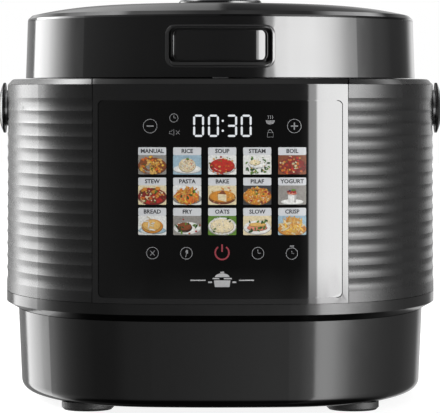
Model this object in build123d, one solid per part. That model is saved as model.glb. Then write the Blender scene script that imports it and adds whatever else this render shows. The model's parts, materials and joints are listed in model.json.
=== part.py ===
from build123d import *
from collections import namedtuple
from math import asin, cos, degrees, radians, sin, sqrt
import os

# Countertop electric pressure multicooker, millimetres. +Z is up, the front faces -Y, the floor is z = 0.
# Everything is drawn about the pot's own axis. At export the model moves along Y so that the
# origin is the bottom centre of its bounding box.

# ---- Driving dimensions ----
BODY_HALF_W = 145.0
BODY_HALF_D = 150.0
BODY_SIDE_R = 200.0
LID_HALF_W = 131.9
LID_HALF_D = 142.0
LID_SIDE_R = 149.1
FOOT_H = 5.5
BASE_TOP_Z = 60.6
TRIM_TOP_Z = 72.2
SHELL_LOW_Z = 72.5
SHELL_TOP_Z = 210.4
DECK_Z = 214.2
DECK_T = 2.5
LID_LOW_Z = 215.0
LID_SEAM_Z = 253.0
CROWN_Z = 264.7
WALL = 3.2
TAPER = 1.0

# Scallops of the body shell, each a shallow hollow between two sharp ridges
RIB_COUNT = 15
RIB_PITCH = 8.15
RIB_TOP_Z = 201.85
RIB_DEPTH = 0.5

# Control panel
PANEL_HALF_W = 81.0
SEAM_GAP = 0.5
GLASS_HALF_W = 76.8
GLASS_Z = (76.4, 200.0)
GLASS_T = 1.9
GLASS_GAP = 0.45
BOARD_Y = (-136.6, -135.0)
TILE_PITCH = (21.95, 19.0)
TILE_MID = (1.2, 143.5)
KEY_ROW_Z = 104.6
SIGN_Z = 184.3
SIGN_X = 45.2

# Pot, chamber and heater
POT_R = 112.5
POT_T = 2.0
POT_LOW_Z = 65.0
POT_CORNER_R = 25.0
FLANGE_R = 120.5
FLANGE_Z = 207.5
CHAMBER_R = 116.6
CHAMBER_T = 0.8
CHAMBER_LOW_Z = 58.0
MOUTH_R = 122.0
HEATER_R = 88.0
HEATER_T = 8.0
ELEMENT_RING_R = 68.0
ELEMENT_R = 4.0
ELEMENT_SWEEP = 320.0
FLOOR_Z = 8.0

# Lid hinge at the rear, latch at the front
HINGE_Y = 152.0
HINGE_Z = 224.0
HINGE_PIN_R = 2.5
LATCH_Y = -129.0
LATCH_Z = 226.0
LATCH_PIN_R = 1.5
RUNNING_GAP = 0.06
EDGE_GAP = 0.3

# Lid button
RECESS_W = 69.3
RECESS_Z = (221.0, 248.0)
RECESS_DEPTH = 7.6
BUTTON_W = 59.0
BUTTON_Z = (224.4, 243.8)
BUTTON_SINK = 1.2
BUTTON_T = 3.6
BUTTON_SPRING_X = 19.0
STEM_Z = (238.5, 241.0)
STEM_TIP_Y = -132.4

# Steam valve
VALVE_Y = 30.0
VALVE_RING_R = 28.5
VALVE_RING_Z = 268.9
VALVE_SOCKET_R = 20.8
VALVE_CAP_R = 20.2
VALVE_CAP_Z = 269.5
VALVE_FLOOR_Z = 241.6
STEAM_HOLE_R = 5.0
FLOAT_R = 6.5

# Carry handle
HUB_Z = 195.0
HUB_R = 17.0
HUB_X = (146.0, 149.8)
HUB_DISC_T = 1.3
HUB_BOSS_R = 9.0
HUB_DOME = 3.8
HANDLE_BACK_Y = 186.0
HANDLE_CORNER_R = 58.0
HANDLE_BAR = (3.8, 14.0)
HANDLE_PIN_R = 4.0
GRIP = (11.0, 20.0)

# Condensate cup and mains inlet at the rear
CUP_HALF_W = 28.0
CUP_Y = (151.0, 170.0)
CUP_Z = (118.0, 160.0)
INLET_Z = 34.0
SOCKET_HALF = (12.3, 8.4)
SOCKET_DEPTH = 17.0

# Feet
FOOT_R = 17.0
FOOT_X = 86.0
FOOT_Y = 92.0

SHIFT_Y = -(HANDLE_BACK_Y + GRIP[0] / 2 - BODY_HALF_D) / 2

Arc = namedtuple("Arc", "x y r start sweep")


# ---- Plan outlines ----
def oval(half_w, half_d, side_r, flat, turn):
    """Eight tangent arcs of a four-fold oval: nose up to flat degrees, corner up to turn, then side."""
    s1, c1 = sin(radians(flat)), cos(radians(flat))
    s2, c2 = sin(radians(turn)), cos(radians(turn))
    reach_x = half_w - side_r * (1 - s2)
    reach_y = half_d - side_r * c2
    det = s1 * (c1 - c2) - (s2 - s1) * (1 - c1)
    nose_r = (reach_x * (c1 - c2) - reach_y * (s2 - s1)) / det
    corner_r = (reach_y * s1 - reach_x * (1 - c1)) / det
    nose_y = half_d - nose_r
    corner_x = (nose_r - corner_r) * s1
    corner_y = nose_y + (nose_r - corner_r) * c1
    side_x = half_w - side_r
    return [
        Arc(0, -nose_y, nose_r, 270 - flat, 2 * flat),
        Arc(corner_x, -corner_y, corner_r, 270 + flat, turn - flat),
        Arc(side_x, 0, side_r, turn - 90, 180 - 2 * turn),
        Arc(corner_x, corner_y, corner_r, 90 - turn, turn - flat),
        Arc(0, nose_y, nose_r, 90 - flat, 2 * flat),
        Arc(-corner_x, corner_y, corner_r, 90 + flat, turn - flat),
        Arc(-side_x, 0, side_r, 90 + turn, 180 - 2 * turn),
        Arc(-corner_x, -corner_y, corner_r, 270 - turn, turn - flat),
    ]


BODY_ARCS = oval(BODY_HALF_W, BODY_HALF_D, BODY_SIDE_R, 5.75, 60)
LID_ARCS = oval(LID_HALF_W, LID_HALF_D, LID_SIDE_R, 20, 45)


def seam_angle():
    """Degrees from the front at which the panel housing meets the ribbed shell."""
    corner = BODY_ARCS[1]
    return degrees(asin((PANEL_HALF_W - corner.x) / corner.r))


def split_spans():
    """The panel housing's arcs, and the ribbed shell's arcs, which start a seam gap further round."""
    nose, corner = BODY_ARCS[0], BODY_ARCS[1]
    mirrored = BODY_ARCS[7]
    seam = seam_angle()
    gap = degrees(SEAM_GAP / corner.r)
    flat = nose.sweep / 2
    turn = flat + corner.sweep
    panel = [
        nose,
        corner._replace(sweep=seam - flat),
        mirrored._replace(start=270 - seam, sweep=seam - flat),
    ]
    shell = [
        corner._replace(start=270 + seam + gap, sweep=turn - seam - gap),
        *BODY_ARCS[2:7],
        mirrored._replace(sweep=turn - seam - gap),
    ]
    return panel, shell


PANEL_ARCS, SHELL_ARCS = split_spans()


def front_y(arcs, x, inset):
    """Y of the front of an outline at a given x, a distance inset inside it."""
    nose, corner = arcs[0], arcs[1]
    on_nose = abs(x) <= (nose.r - inset) * sin(radians(nose.sweep / 2))
    arc = nose if on_nose else corner
    return arc.y - sqrt((arc.r - inset) ** 2 - (abs(x) - arc.x) ** 2)


def body_taper(z):
    """How far the body's side leans in at height z."""
    return TAPER * (z - TRIM_TOP_Z) / (SHELL_TOP_Z - TRIM_TOP_Z)


# ---- Shape helpers ----
def block(x, y, z):
    """Box between low and high values on each axis."""
    low_high = (x, y, z)
    middle = [(low + high) / 2 for low, high in low_high]
    size = [high - low for low, high in low_high]
    return Pos(*middle) * Box(*size)


def pillar(radius, z, x=0, y=0):
    """Upright cylinder between two heights."""
    return Pos(x, y, (z[0] + z[1]) / 2) * Cylinder(radius, z[1] - z[0])


def rod_x(radius, x, y, z):
    """Cylinder along X between two x values."""
    return Pos((x[0] + x[1]) / 2, y, z) * Rot(0, 90, 0) * Cylinder(radius, x[1] - x[0])


def rod_y(radius, x, y, z):
    """Cylinder along Y between two y values."""
    return Pos(x, (y[0] + y[1]) / 2, z) * Rot(90, 0, 0) * Cylinder(radius, y[1] - y[0])


def polygon(*points):
    return make_face(Polyline(*points, close=True))


def turned(*points):
    """Solid of revolution about Z from points of radius and height."""
    return revolve(Plane.XZ * polygon(*points), Axis.Z)


def ring(inner, outer, z):
    """Flat ring or tube about Z."""
    return turned((inner, z[0]), (outer, z[0]), (outer, z[1]), (inner, z[1]))


def across(x, *points):
    """Outline in Y and Z, extruded along X."""
    face = Plane.YZ.offset(x[0]) * polygon(*points)
    return extrude(face, amount=x[1] - x[0])


def window(x, y, z, corner):
    """Box with rounded corners seen from the front."""
    sketch = Pos((x[0] + x[1]) / 2, (z[0] + z[1]) / 2) * RectangleRounded(x[1] - x[0], z[1] - z[0], corner)
    return extrude(Plane.XZ.offset(-y[1]) * sketch, amount=y[1] - y[0])


def swept(arcs, section):
    """Carry a section of offset and height round the arcs of an outline."""
    spans = []
    for arc in arcs:
        c, s = cos(radians(arc.start)), sin(radians(arc.start))
        plane = Plane(origin=(arc.x, arc.y, 0), x_dir=(c, s, 0), z_dir=(s, -c, 0))
        axis = Axis((arc.x, arc.y, 0), (0, 0, 1))
        spans.append(revolve(plane * Pos(arc.r, 0) * section, axis, revolution_arc=arc.sweep))
    return spans[0] + spans[1:]


def plate(arcs, inset, z):
    """Flat plate of an outline, a distance inset inside it."""
    edges = [CenterArc((arc.x, arc.y), arc.r - inset, arc.start, arc.sweep) for arc in arcs]
    return extrude(Pos(0, 0, z[0]) * make_face(edges), amount=z[1] - z[0])


def leaning(outer, inner, z):
    """Section between two offsets that leans in with the body's side."""
    low, high = body_taper(z[0]), body_taper(z[1])
    return polygon((outer - low, z[0]), (outer - high, z[1]), (inner - high, z[1]), (inner - low, z[0]))


def mirrored_x(shape):
    return [shape, mirror(shape, Plane.YZ)]


def four_corners(x, y):
    return [(sx * x, sy * y) for sx in (-1, 1) for sy in (-1, 1)]


def wire_run(points, bend, radius):
    """Round lead along straight runs joined by tangent arcs."""
    path = FilletPolyline(*points, radius=bend)
    start = Plane(origin=path @ 0, z_dir=path % 0)
    return sweep(start * Circle(radius), path=path)


def coil(ring_r, wire_r, pitch, height):
    """Helical spring standing on z = 0."""
    path = Helix(pitch, height, ring_r)
    start = Plane(origin=path @ 0, z_dir=path % 0)
    return sweep(start * Circle(wire_r), path=path, is_frenet=True)


# ---- Base and feet ----
INLET_HALF = (SOCKET_HALF[0] + 1.8, SOCKET_HALF[1] + 1.8)
BRACKET_R = 98.0
POWER_BOARD_POSTS = [(x, y) for x in (-44, 44) for y in (-122.5, -98)]


def base_shell():
    section = make_face([
        Line((-8, BASE_TOP_Z), (-10, 12.3)),
        RadiusArc((-10, 12.3), (-16.5, FOOT_H), 7),
        Line((-16.5, FOOT_H), (-40, FOOT_H)),
        Line((-40, FOOT_H), (-40, FLOOR_Z)),
        Line((-40, FLOOR_Z), (-17, FLOOR_Z)),
        RadiusArc((-17, FLOOR_Z), (-12.5, 13), -5),
        Line((-12.5, 13), (-10.7, BASE_TOP_Z)),
        Line((-10.7, BASE_TOP_Z), (-8, BASE_TOP_Z)),
    ])
    tub = swept(BODY_ARCS, section) + plate(BODY_ARCS, 38, (FOOT_H, FLOOR_Z))
    for x, y in four_corners(FOOT_X, FOOT_Y):
        tub += pillar(5, (FLOOR_Z, 20), x, y)
        tub -= pillar(2.2, (FOOT_H - 1, 15), x, y)
    tub += [pillar(3, (FLOOR_Z, 22), x, y) for x, y in POWER_BOARD_POSTS]
    tub -= [pillar(2.1, (0, 12), x, y) for x, y in four_corners(BRACKET_R * 0.7071, BRACKET_R * 0.7071)]
    vents = [
        Rot(0, 0, angle) * block((30, 62), (-1.5, 1.5), (0, 12))
        for angle in (0, 22.5, -22.5, 180, 157.5, 202.5)
    ]
    opening = block(
        (-INLET_HALF[0] - 0.1, INLET_HALF[0] + 0.1),
        (120, 150),
        (INLET_Z - INLET_HALF[1] - 0.1, INLET_Z + INLET_HALF[1] + 0.1),
    )
    return tub - vents - opening


def feet():
    foot = turned((0, 0), (FOOT_R - 1.6, 0), (FOOT_R, 1.6), (FOOT_R, FOOT_H), (2, FOOT_H), (2, 14), (0, 14))
    return [Pos(x, y, 0) * foot for x, y in four_corners(FOOT_X, FOOT_Y)]


def base_screws():
    screw = turned((0, 3.2), (2.6, 3.2), (3.4, 4.0), (3.4, FOOT_H), (1.9, FOOT_H), (1.9, 14), (0, 14))
    return [Pos(x, y, 0) * screw for x, y in four_corners(BRACKET_R * 0.7071, BRACKET_R * 0.7071)]


def lower_trim_ring():
    section = polygon(
        (0, TRIM_TOP_Z), (0, 65.4), (-8, BASE_TOP_Z + 0.2), (-14, BASE_TOP_Z + 0.2), (-14, 63.3),
        (-9.5, 63.3), (-5.6, 65.8), (-5.6, 76), (-3.5, 76), (-3.5, TRIM_TOP_Z),
    )
    return swept(BODY_ARCS, section)


# ---- Body casing ----
def ribbed_section():
    """Side wall whose outer face is a stack of shallow hollows between sharp ridges."""
    ridges = [RIB_TOP_Z - RIB_PITCH * k for k in range(RIB_COUNT + 1)]
    low = (0, SHELL_LOW_Z)
    top = (-body_taper(SHELL_TOP_Z), SHELL_TOP_Z)
    last = (-body_taper(ridges[0]), ridges[0])
    edges = [Line(top, last)]
    for z in ridges[1:]:
        here = (-body_taper(z), z)
        middle = (last[1] + z) / 2
        edges.append(ThreePointArc(last, (-body_taper(middle) - RIB_DEPTH, middle), here))
        last = here
    edges.append(Line(last, low))
    inner_low = (-WALL, SHELL_LOW_Z)
    inner_top = (-WALL - TAPER, SHELL_TOP_Z)
    edges += [Line(low, inner_low), Line(inner_low, inner_top), Line(inner_top, top)]
    return make_face(edges)


def body_shell():
    shell = swept(SHELL_ARCS, ribbed_section())
    pivots = rod_x(HANDLE_PIN_R + 0.1, (-160, 160), 0, HUB_Z)
    stops = rod_x(2.7, (-160, 160), STOP_Y, STOP_Z)
    return shell - pivots - stops


def panel_slab(half_w, z, corner, outer, inner):
    """Part of the curved front wall seen through a rounded window."""
    wall = swept(PANEL_ARCS, leaning(outer, inner, (z[0] - 5, z[1] + 5)))
    return wall & window((-half_w, half_w), (-170, -100), z, corner)


def front_panel_frame():
    frame = swept(PANEL_ARCS, leaning(0, -WALL, (SHELL_LOW_Z, SHELL_TOP_Z)))
    seat_z = (GLASS_Z[0] - GLASS_GAP, GLASS_Z[1] + GLASS_GAP)
    frame -= panel_slab(GLASS_HALF_W + GLASS_GAP, seat_z, 3.2, 2, -GLASS_T - 0.05)
    frame -= window((-58, 58), (-170, -100), (92, 197), 4)
    for x, z in [(x, z) for x in (-66, 66) for z in (86, 190)]:
        frame += rod_y(3, x, (front_y(BODY_ARCS, x, WALL - 0.2), BOARD_Y[0]), z)
    return frame


def control_panel_glass():
    return panel_slab(GLASS_HALF_W, GLASS_Z, 3, 0, -GLASS_T)


def touch_points():
    """Where a finger works the panel: tiles, keys under them, and the two signs beside the digits."""
    tiles = [
        (TILE_MID[0] + i * TILE_PITCH[0], TILE_MID[1] + j * TILE_PITCH[1])
        for i in range(-2, 3)
        for j in (-1, 0, 1)
    ]
    keys = [(TILE_MID[0] + i * TILE_PITCH[0], KEY_ROW_Z) for i in range(-2, 3)]
    signs = [(x, SIGN_Z) for x in (-SIGN_X, SIGN_X)]
    return tiles + keys + signs


def touch_contacts():
    sleeves = []
    for x, z in touch_points():
        edge = abs(x) + 3.4
        glass_y = front_y(BODY_ARCS, edge, GLASS_T + TAPER + 0.1)
        sleeves.append(rod_y(3.4, x, (glass_y, BOARD_Y[0]), z) - rod_y(2.7, x, (-160, -100), z))
    return sleeves


def control_board():
    return block((-70, 70), BOARD_Y, (80, 197))


def display_module():
    return block((-20, 22.5), (-146.2, BOARD_Y[0]), (174.5, 194.5))


def upper_rim_ring():
    section = polygon(
        (-TAPER, SHELL_TOP_Z + 0.2), (-4.0, 213.8), (-5.2, DECK_Z), (-24, DECK_Z), (-24, DECK_Z - DECK_T),
        (-7.2, DECK_Z - DECK_T), (-7.2, 204), (-4.5, 204), (-4.5, SHELL_TOP_Z + 0.2),
    )
    collar = swept(BODY_ARCS, section) + plate(BODY_ARCS, 22, (DECK_Z - DECK_T, DECK_Z))
    collar -= pillar(MOUTH_R + 1, (DECK_Z - DECK_T - 1, DECK_Z + 1))
    collar += turned(
        (CHAMBER_R - 0.4, FLANGE_Z - 2), (MOUTH_R + 2.5, FLANGE_Z - 2), (MOUTH_R + 2.5, DECK_Z),
        (MOUTH_R, DECK_Z), (MOUTH_R, FLANGE_Z), (CHAMBER_R - 0.4, FLANGE_Z),
    )
    return collar - block((-8, 8), (-140, STRIKE_Y), (DECK_Z - 4, DECK_Z + 1))


# ---- Chamber, heater and pot ----
def inner_chamber():
    outer = CHAMBER_R + CHAMBER_T
    top = FLANGE_Z - 2
    floor = CHAMBER_LOW_Z + CHAMBER_T
    return turned(
        (91, CHAMBER_LOW_Z), (outer, CHAMBER_LOW_Z), (outer, top),
        (CHAMBER_R, top), (CHAMBER_R, floor), (91, floor),
    )


def chamber_brackets():
    """Folded straps between the base floor and the chamber's floor, one at each corner."""
    strap = block((92, 105.5), (-7, 7), (FLOOR_Z, FLOOR_Z + 1.5))
    strap += block((104, 105.5), (-7, 7), (FLOOR_Z, CHAMBER_LOW_Z))
    strap += block((92, 105.5), (-7, 7), (CHAMBER_LOW_Z - 1.5, CHAMBER_LOW_Z))
    strap -= pillar(2.0, (0, 15), BRACKET_R)
    return [Rot(0, 0, angle) * strap for angle in (45, 135, 225, 315)]


def element_path_ring(radius):
    """Ring of round section, open towards the front."""
    half_gap = (360 - ELEMENT_SWEEP) / 2
    start = 270 + half_gap
    c, s = cos(radians(start)), sin(radians(start))
    plane = Plane(origin=(0, 0, 0), x_dir=(c, s, 0), z_dir=(s, -c, 0))
    section = Pos(ELEMENT_RING_R, POT_LOW_Z - HEATER_T) * Circle(radius)
    return revolve(plane * section, Axis.Z, revolution_arc=ELEMENT_SWEEP)


ELEMENT_END = (
    ELEMENT_RING_R * sin(radians((360 - ELEMENT_SWEEP) / 2)),
    -ELEMENT_RING_R * cos(radians((360 - ELEMENT_SWEEP) / 2)),
)


def heating_plate():
    low = POT_LOW_Z - HEATER_T
    disc = turned(
        (14.5, low), (HEATER_R - 1, low), (HEATER_R, low + 1), (HEATER_R, POT_LOW_Z - 1),
        (HEATER_R - 1, POT_LOW_Z), (14.5, POT_LOW_Z),
    )
    disc -= element_path_ring(ELEMENT_R + 0.02)
    return disc - [pillar(ELEMENT_R + 0.5, (low - 1, low + 4.6), x, ELEMENT_END[1]) for x in end_xs()]


def end_xs():
    return (-ELEMENT_END[0], ELEMENT_END[0])


def heating_element():
    low = POT_LOW_Z - HEATER_T
    tube = element_path_ring(ELEMENT_R)
    return tube + [pillar(ELEMENT_R - 1, (43, low + 1), x, ELEMENT_END[1]) for x in end_xs()]


def heater_posts():
    top = POT_LOW_Z - HEATER_T
    return [Rot(0, 0, angle) * pillar(4, (FLOOR_Z, top), 52) for angle in (90, 210, 330)]


def thermal_fuse():
    case = rod_x(3, (-9, 9), -100, CHAMBER_LOW_Z - 3)
    return case + block((-3, 3), (-103, -97), (CHAMBER_LOW_Z - 4, CHAMBER_LOW_Z))


SENSOR_TOP_Z = POT_LOW_Z - EDGE_GAP
SENSOR_SHELF_Z = 34.0


def sensor_guide():
    return turned(
        (0, FLOOR_Z), (13, FLOOR_Z), (13, FLOOR_Z + 2), (9.7, FLOOR_Z + 2), (9.7, 58),
        (8.3, 58), (8.3, SENSOR_SHELF_Z), (0, SENSOR_SHELF_Z),
    )


def sensor_cap():
    top = SENSOR_TOP_Z
    return turned(
        (0, top - 2), (10.1, top - 2), (10.1, 50), (12, 50), (12, top - 0.8), (11.2, top), (0, top),
    )


def sensor_spring():
    wire = 0.6
    height = SENSOR_TOP_Z - 2 - SENSOR_SHELF_Z - 2 * wire - 0.1
    return Pos(0, 0, SENSOR_SHELF_Z + wire + 0.05) * coil(6.2, wire, 4.2, height)


def inner_pot():
    bottom = POT_LOW_Z
    arc_in = POT_R - POT_CORNER_R
    inner_r = POT_R - POT_T
    section = make_face([
        Line((0, bottom), (arc_in, bottom)),
        RadiusArc((arc_in, bottom), (POT_R, bottom + POT_CORNER_R), -POT_CORNER_R),
        Line((POT_R, bottom + POT_CORNER_R), (POT_R, FLANGE_Z)),
        Line((POT_R, FLANGE_Z), (FLANGE_R, FLANGE_Z)),
        Line((FLANGE_R, FLANGE_Z), (FLANGE_R, FLANGE_Z + POT_T)),
        Line((FLANGE_R, FLANGE_Z + POT_T), (inner_r, FLANGE_Z + POT_T)),
        Line((inner_r, FLANGE_Z + POT_T), (inner_r, bottom + POT_CORNER_R)),
        RadiusArc((inner_r, bottom + POT_CORNER_R), (arc_in, bottom + POT_T), POT_CORNER_R - POT_T),
        Line((arc_in, bottom + POT_T), (0, bottom + POT_T)),
        Line((0, bottom + POT_T), (0, bottom)),
    ])
    return revolve(Plane.XZ * section, Axis.Z)


# ---- Electrics ----
POWER_BOARD_TOP = 23.6


def power_board():
    return block((-50, 50), (-128, -93), (22, POWER_BOARD_TOP))


def relay():
    return block((-44, -24), (-116, -101), (POWER_BOARD_TOP, POWER_BOARD_TOP + 16))


def transformer():
    core = block((26, 48), (-124, -98), (POWER_BOARD_TOP, POWER_BOARD_TOP + 18))
    return core + block((29, 45), (-127, -95), (POWER_BOARD_TOP + 2, POWER_BOARD_TOP + 14))


def ribbon_cable():
    """Flat lead from the control board's back down to the power board."""
    half = 0.4
    y = BOARD_Y[1] + half
    z = POWER_BOARD_TOP + half
    bend = 10.0
    path = [
        Line((y, 95), (y, z + bend)),
        RadiusArc((y, z + bend), (y + bend, z), bend),
        Line((y + bend, z), (y + bend + 6, z)),
    ]
    strip = make_face(offset(Wire(path), half, side=Side.BOTH).edges())
    return extrude(Plane.YZ.offset(-12) * strip, amount=24)


def mains_leads():
    """Pair of leads from the inlet under the heater to the power board."""
    under_board = POWER_BOARD_TOP - 1.7
    rise = [(31, -110, 13), (31, -110, under_board)]
    points = [(7, 117.9, INLET_Z), (7, 92, 26), (30, 62, 14), (31, -40, 13), *rise]
    lead = wire_run(points, 8, 1.4)
    return mirrored_x(lead)


def heater_leads():
    x, y = ELEMENT_END
    points = [(x, y, 43), (x, y, 33), (x, -97, 33), (x, -97, POWER_BOARD_TOP)]
    lead = wire_run(points, 8, 1.3)
    return mirrored_x(lead)


def power_inlet():
    outer_x, outer_z = INLET_HALF
    wall_y = BODY_HALF_D - 8
    body = block((-outer_x, outer_x), (120, wall_y), (INLET_Z - outer_z, INLET_Z + outer_z))
    flange_x, flange_z = outer_x + 3.2, outer_z + 3.2
    flange = window((-flange_x, flange_x), (wall_y, wall_y + 2), (INLET_Z - flange_z, INLET_Z + flange_z), 3)
    cavity_y = wall_y + 2 - SOCKET_DEPTH
    socket_x, socket_z = SOCKET_HALF
    cavity = window(
        (-socket_x, socket_x), (cavity_y, wall_y + 3), (INLET_Z - socket_z, INLET_Z + socket_z), 3,
    )
    return body + flange - cavity - inlet_blades(0.02)


def inlet_blades(extra=0.0):
    """Line, neutral and earth blades; extra is the room left round each."""
    tip = BODY_HALF_D - 8
    blades = []
    for x, z in ((-7, INLET_Z + 1), (0, INLET_Z + 4.6), (7, INLET_Z + 1)):
        width, height = 1.0 + extra, 2.0 + extra
        blades.append(block((x - width, x + width), (118 - extra, tip), (z - height, z + height)))
    return blades


# ---- Lid hinge and latch on the body ----
def hinge_housing():
    back = 166.0
    ear = 9.0
    low = across(
        (-46, 46), (150, 178), (158, 178), (back, 190), (back, 215),
        (HINGE_Y + ear, HINGE_Z), (HINGE_Y - ear, HINGE_Z), (HINGE_Y - ear, DECK_Z), (150, DECK_Z),
    )
    housing = low + rod_x(ear, (-46, 46), HINGE_Y, HINGE_Z)
    housing -= block((-31.2, 31.2), (140, 162.2), (213, 240))
    housing -= rod_x(HINGE_PIN_R + 0.05, (-60, 60), HINGE_Y, HINGE_Z)
    return housing


def hinge_pin():
    return rod_x(HINGE_PIN_R, (-46, 46), HINGE_Y, HINGE_Z)


def hinge_spring():
    wire = 0.6
    return Pos(-8, HINGE_Y, HINGE_Z) * Rot(0, 90, 0) * coil(4.2, wire, 1.9, 16)


def lid_hinge_bracket():
    """Web that hugs the lid's rear wall, with two lugs that turn on the pin."""
    lug_r = 8.0
    web = block((-30.5, 30.5), (130, HINGE_Y - 8), (HINGE_Z - 7, HINGE_Z + 7))
    lugs = [
        rod_x(lug_r, x, HINGE_Y, HINGE_Z) + block(x, (130, HINGE_Y), (HINGE_Z - 7, HINGE_Z + 7))
        for x in ((-30.5, -12), (12, 30.5))
    ]
    bracket = web + lugs
    bracket -= plate(LID_ARCS, 0, (200, 260))
    return bracket - rod_x(HINGE_PIN_R + RUNNING_GAP, (-60, 60), HINGE_Y, HINGE_Z)


STRIKE_Y = -128.6
STRIKE_EDGE_Y = -129.0
NOSE_TIP_Y = STRIKE_EDGE_Y - EDGE_GAP


def latch_strike():
    low = DECK_Z - DECK_T - 1.5
    return block((-12, 12), (STRIKE_EDGE_Y, -124.8), (low, DECK_Z - DECK_T))


def latch_hook():
    hook = across(
        (-5, 5),
        (-131.8, 242), (-129.2, 242), (-126.2, 230), (-126.2, 221), (-129.5, 216.4), (-131.4, 216.4),
        (-131.4, 210.4), (NOSE_TIP_Y, 209.8), (-131.6, 206.8), (-134.0, 206.8), (-134.0, 218.6),
        (-131.4, 221), (-131.8, 230),
    )
    return hook - rod_x(LATCH_PIN_R + RUNNING_GAP, (-20, 20), LATCH_Y, LATCH_Z)


def latch_pin():
    return rod_x(LATCH_PIN_R, (-12.5, 12.5), LATCH_Y, LATCH_Z)


def latch_spring():
    return Pos(5.9, LATCH_Y, LATCH_Z) * Rot(0, 90, 0) * coil(2.5, 0.35, 0.9, 2.6)


# ---- Lid ----
LID_SCREW = (96.0, 70.0)


def lid_shell():
    section = polygon(
        (0, LID_LOW_Z), (-1.4, LID_SEAM_Z), (-4, LID_SEAM_Z), (-2.7, LID_LOW_Z + 2.5),
        (-20, LID_LOW_Z + 2.5), (-20, LID_LOW_Z),
    )
    shell = swept(LID_ARCS, section)
    shell += plate(LID_ARCS, 18, (LID_LOW_Z, LID_LOW_Z + 2.5)) - pillar(104, (210, 220))
    half = RECESS_W / 2 - 1.5
    shell -= window((-half, half), (-150, -120), (RECESS_Z[0] + 1.5, RECESS_Z[1] - 1.5), 5)
    ear = block((9, 12), (-131.8, -125.5), (LID_LOW_Z + 2.5, 229.5))
    shell += mirrored_x(ear)
    shell -= rod_x(LATCH_PIN_R + 0.05, (-14, 14), LATCH_Y, LATCH_Z)
    shell -= block((-7, 7), (-139, -125.8), (LID_LOW_Z - 1, LID_LOW_Z + 3))
    for x, y in four_corners(*LID_SCREW):
        shell -= pillar(3.2, (LID_LOW_Z - 1, LID_LOW_Z + 1.6), x, y)
        shell -= pillar(1.6, (LID_LOW_Z - 1, LID_LOW_Z + 4), x, y)
    return shell


def lid_screws():
    low = LID_LOW_Z
    screw = turned((0, low), (3, low), (3, low + 1.6), (1.4, low + 1.6), (1.4, 240), (0, 240))
    return [Pos(x, y, 0) * screw for x, y in four_corners(*LID_SCREW)]


def cover_section(drop):
    """Half section of the lid's top skin, drop millimetres under its outer face."""
    lip, bend, flat = (-4.4, 257.0 - drop), (-54, 263.5 - drop), (-104, CROWN_Z - drop)
    arc = TangentArc(bend, lip, tangent=(1, -0.033))
    return lip, bend, flat, arc


def lid_top_cover():
    lip, bend, flat, arc = cover_section(0)
    low_lip, low_bend, low_flat, low_arc = cover_section(2.4)
    seam = LID_SEAM_Z + 0.3
    section = make_face([
        Line((-1.4, seam), (-1.7, 254.6)),
        Line((-1.7, 254.6), lip),
        arc,
        Line(bend, flat),
        Line(flat, low_flat),
        Line(low_flat, low_bend),
        low_arc,
        Line(low_lip, (-6.2, 253.8)),
        Line((-6.2, 253.8), (-6.2, 249)),
        Line((-6.2, 249), (-4.3, 249)),
        Line((-4.3, 249), (-4.3, seam)),
        Line((-4.3, seam), (-1.4, seam)),
    ])
    cover = swept(LID_ARCS, section) + plate(LID_ARCS, 103, (CROWN_Z - 2.4, CROWN_Z))
    for x, y in four_corners(*LID_SCREW):
        cover += pillar(3.6, (LID_LOW_Z + 2.5, 258), x, y) - pillar(1.5, (LID_LOW_Z, 241), x, y)
    return cover - pillar(23, (250, 280), 0, VALVE_Y)


FRAME_Z = (212.6, 214.8)


def lid_inner_frame():
    disc = turned(
        (0, FRAME_Z[0]), (119, FRAME_Z[0]), (119, FRAME_Z[1]), (103.6, FRAME_Z[1]), (103.6, 217),
        (101.6, 217), (101.6, FRAME_Z[1]), (0, FRAME_Z[1]),
    )
    disc += pillar(3, (206, FRAME_Z[0]))
    disc -= pillar(STEAM_HOLE_R, (200, 220), 0, VALVE_Y)
    return disc - pillar(4.05, (200, 220), *LID_SENSOR)


LID_SENSOR = (40, -30)


def lid_sensor():
    return pillar(4, (205, 219), *LID_SENSOR)


def inner_lid_plate():
    dish = turned(
        (7.3, 207.5), (106.4, 207.5), (106.4, 212.2), (105.4, 212.2), (105.4, 208.5), (7.3, 208.5),
    )
    dish -= pillar(STEAM_HOLE_R, (200, 220), 0, VALVE_Y)
    return dish - pillar(4.6, (200, 220), *LID_SENSOR)


def plate_grommet():
    return turned(
        (3.05, 205.5), (9.5, 205.5), (9.5, 207.4), (7.2, 207.4), (7.2, 208.6), (9.5, 208.6),
        (9.5, 211), (3.05, 211),
    )


def lid_seal_ring():
    return turned(
        (107, 206.6), (109.7, 206.6), (109.7, 210), (117.5, 210), (117.5, FRAME_Z[0]), (107, FRAME_Z[0]),
    )


# ---- Lid button ----
def lid_front_slab(half_w, z, corner, outer, inner):
    """Part of the lid's curved front between two offsets, seen through a rounded window."""
    wall = swept(LID_FRONT_ARCS, polygon((outer, 200), (outer, 260), (inner, 260), (inner, 200)))
    return wall & window((-half_w, half_w), (-170, -100), z, corner)


LID_FRONT_ARCS = [LID_ARCS[7], LID_ARCS[0], LID_ARCS[1]]


def button_bezel():
    half = RECESS_W / 2
    inside = half - 2.2
    inner_z = (RECESS_Z[0] + 2, RECESS_Z[1] - 2)
    wall_half = half - 1.7
    wall_z = (RECESS_Z[0] + 1.7, RECESS_Z[1] - 1.7)
    bezel = lid_front_slab(half, RECESS_Z, 6, 0.5, -0.1)
    bezel += lid_front_slab(wall_half, wall_z, 4.6, 0.2, -RECESS_DEPTH - 1.6)
    bezel -= lid_front_slab(inside, inner_z, 4, 2, -RECESS_DEPTH)
    bezel -= block((-6.5, 6.5), (-150, -120), (STEM_Z[0] - 2, STEM_Z[1] + 1.5))
    return bezel - mirrored_x(rod_y(3.4, BUTTON_SPRING_X, (-150, -120), 234))


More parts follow.
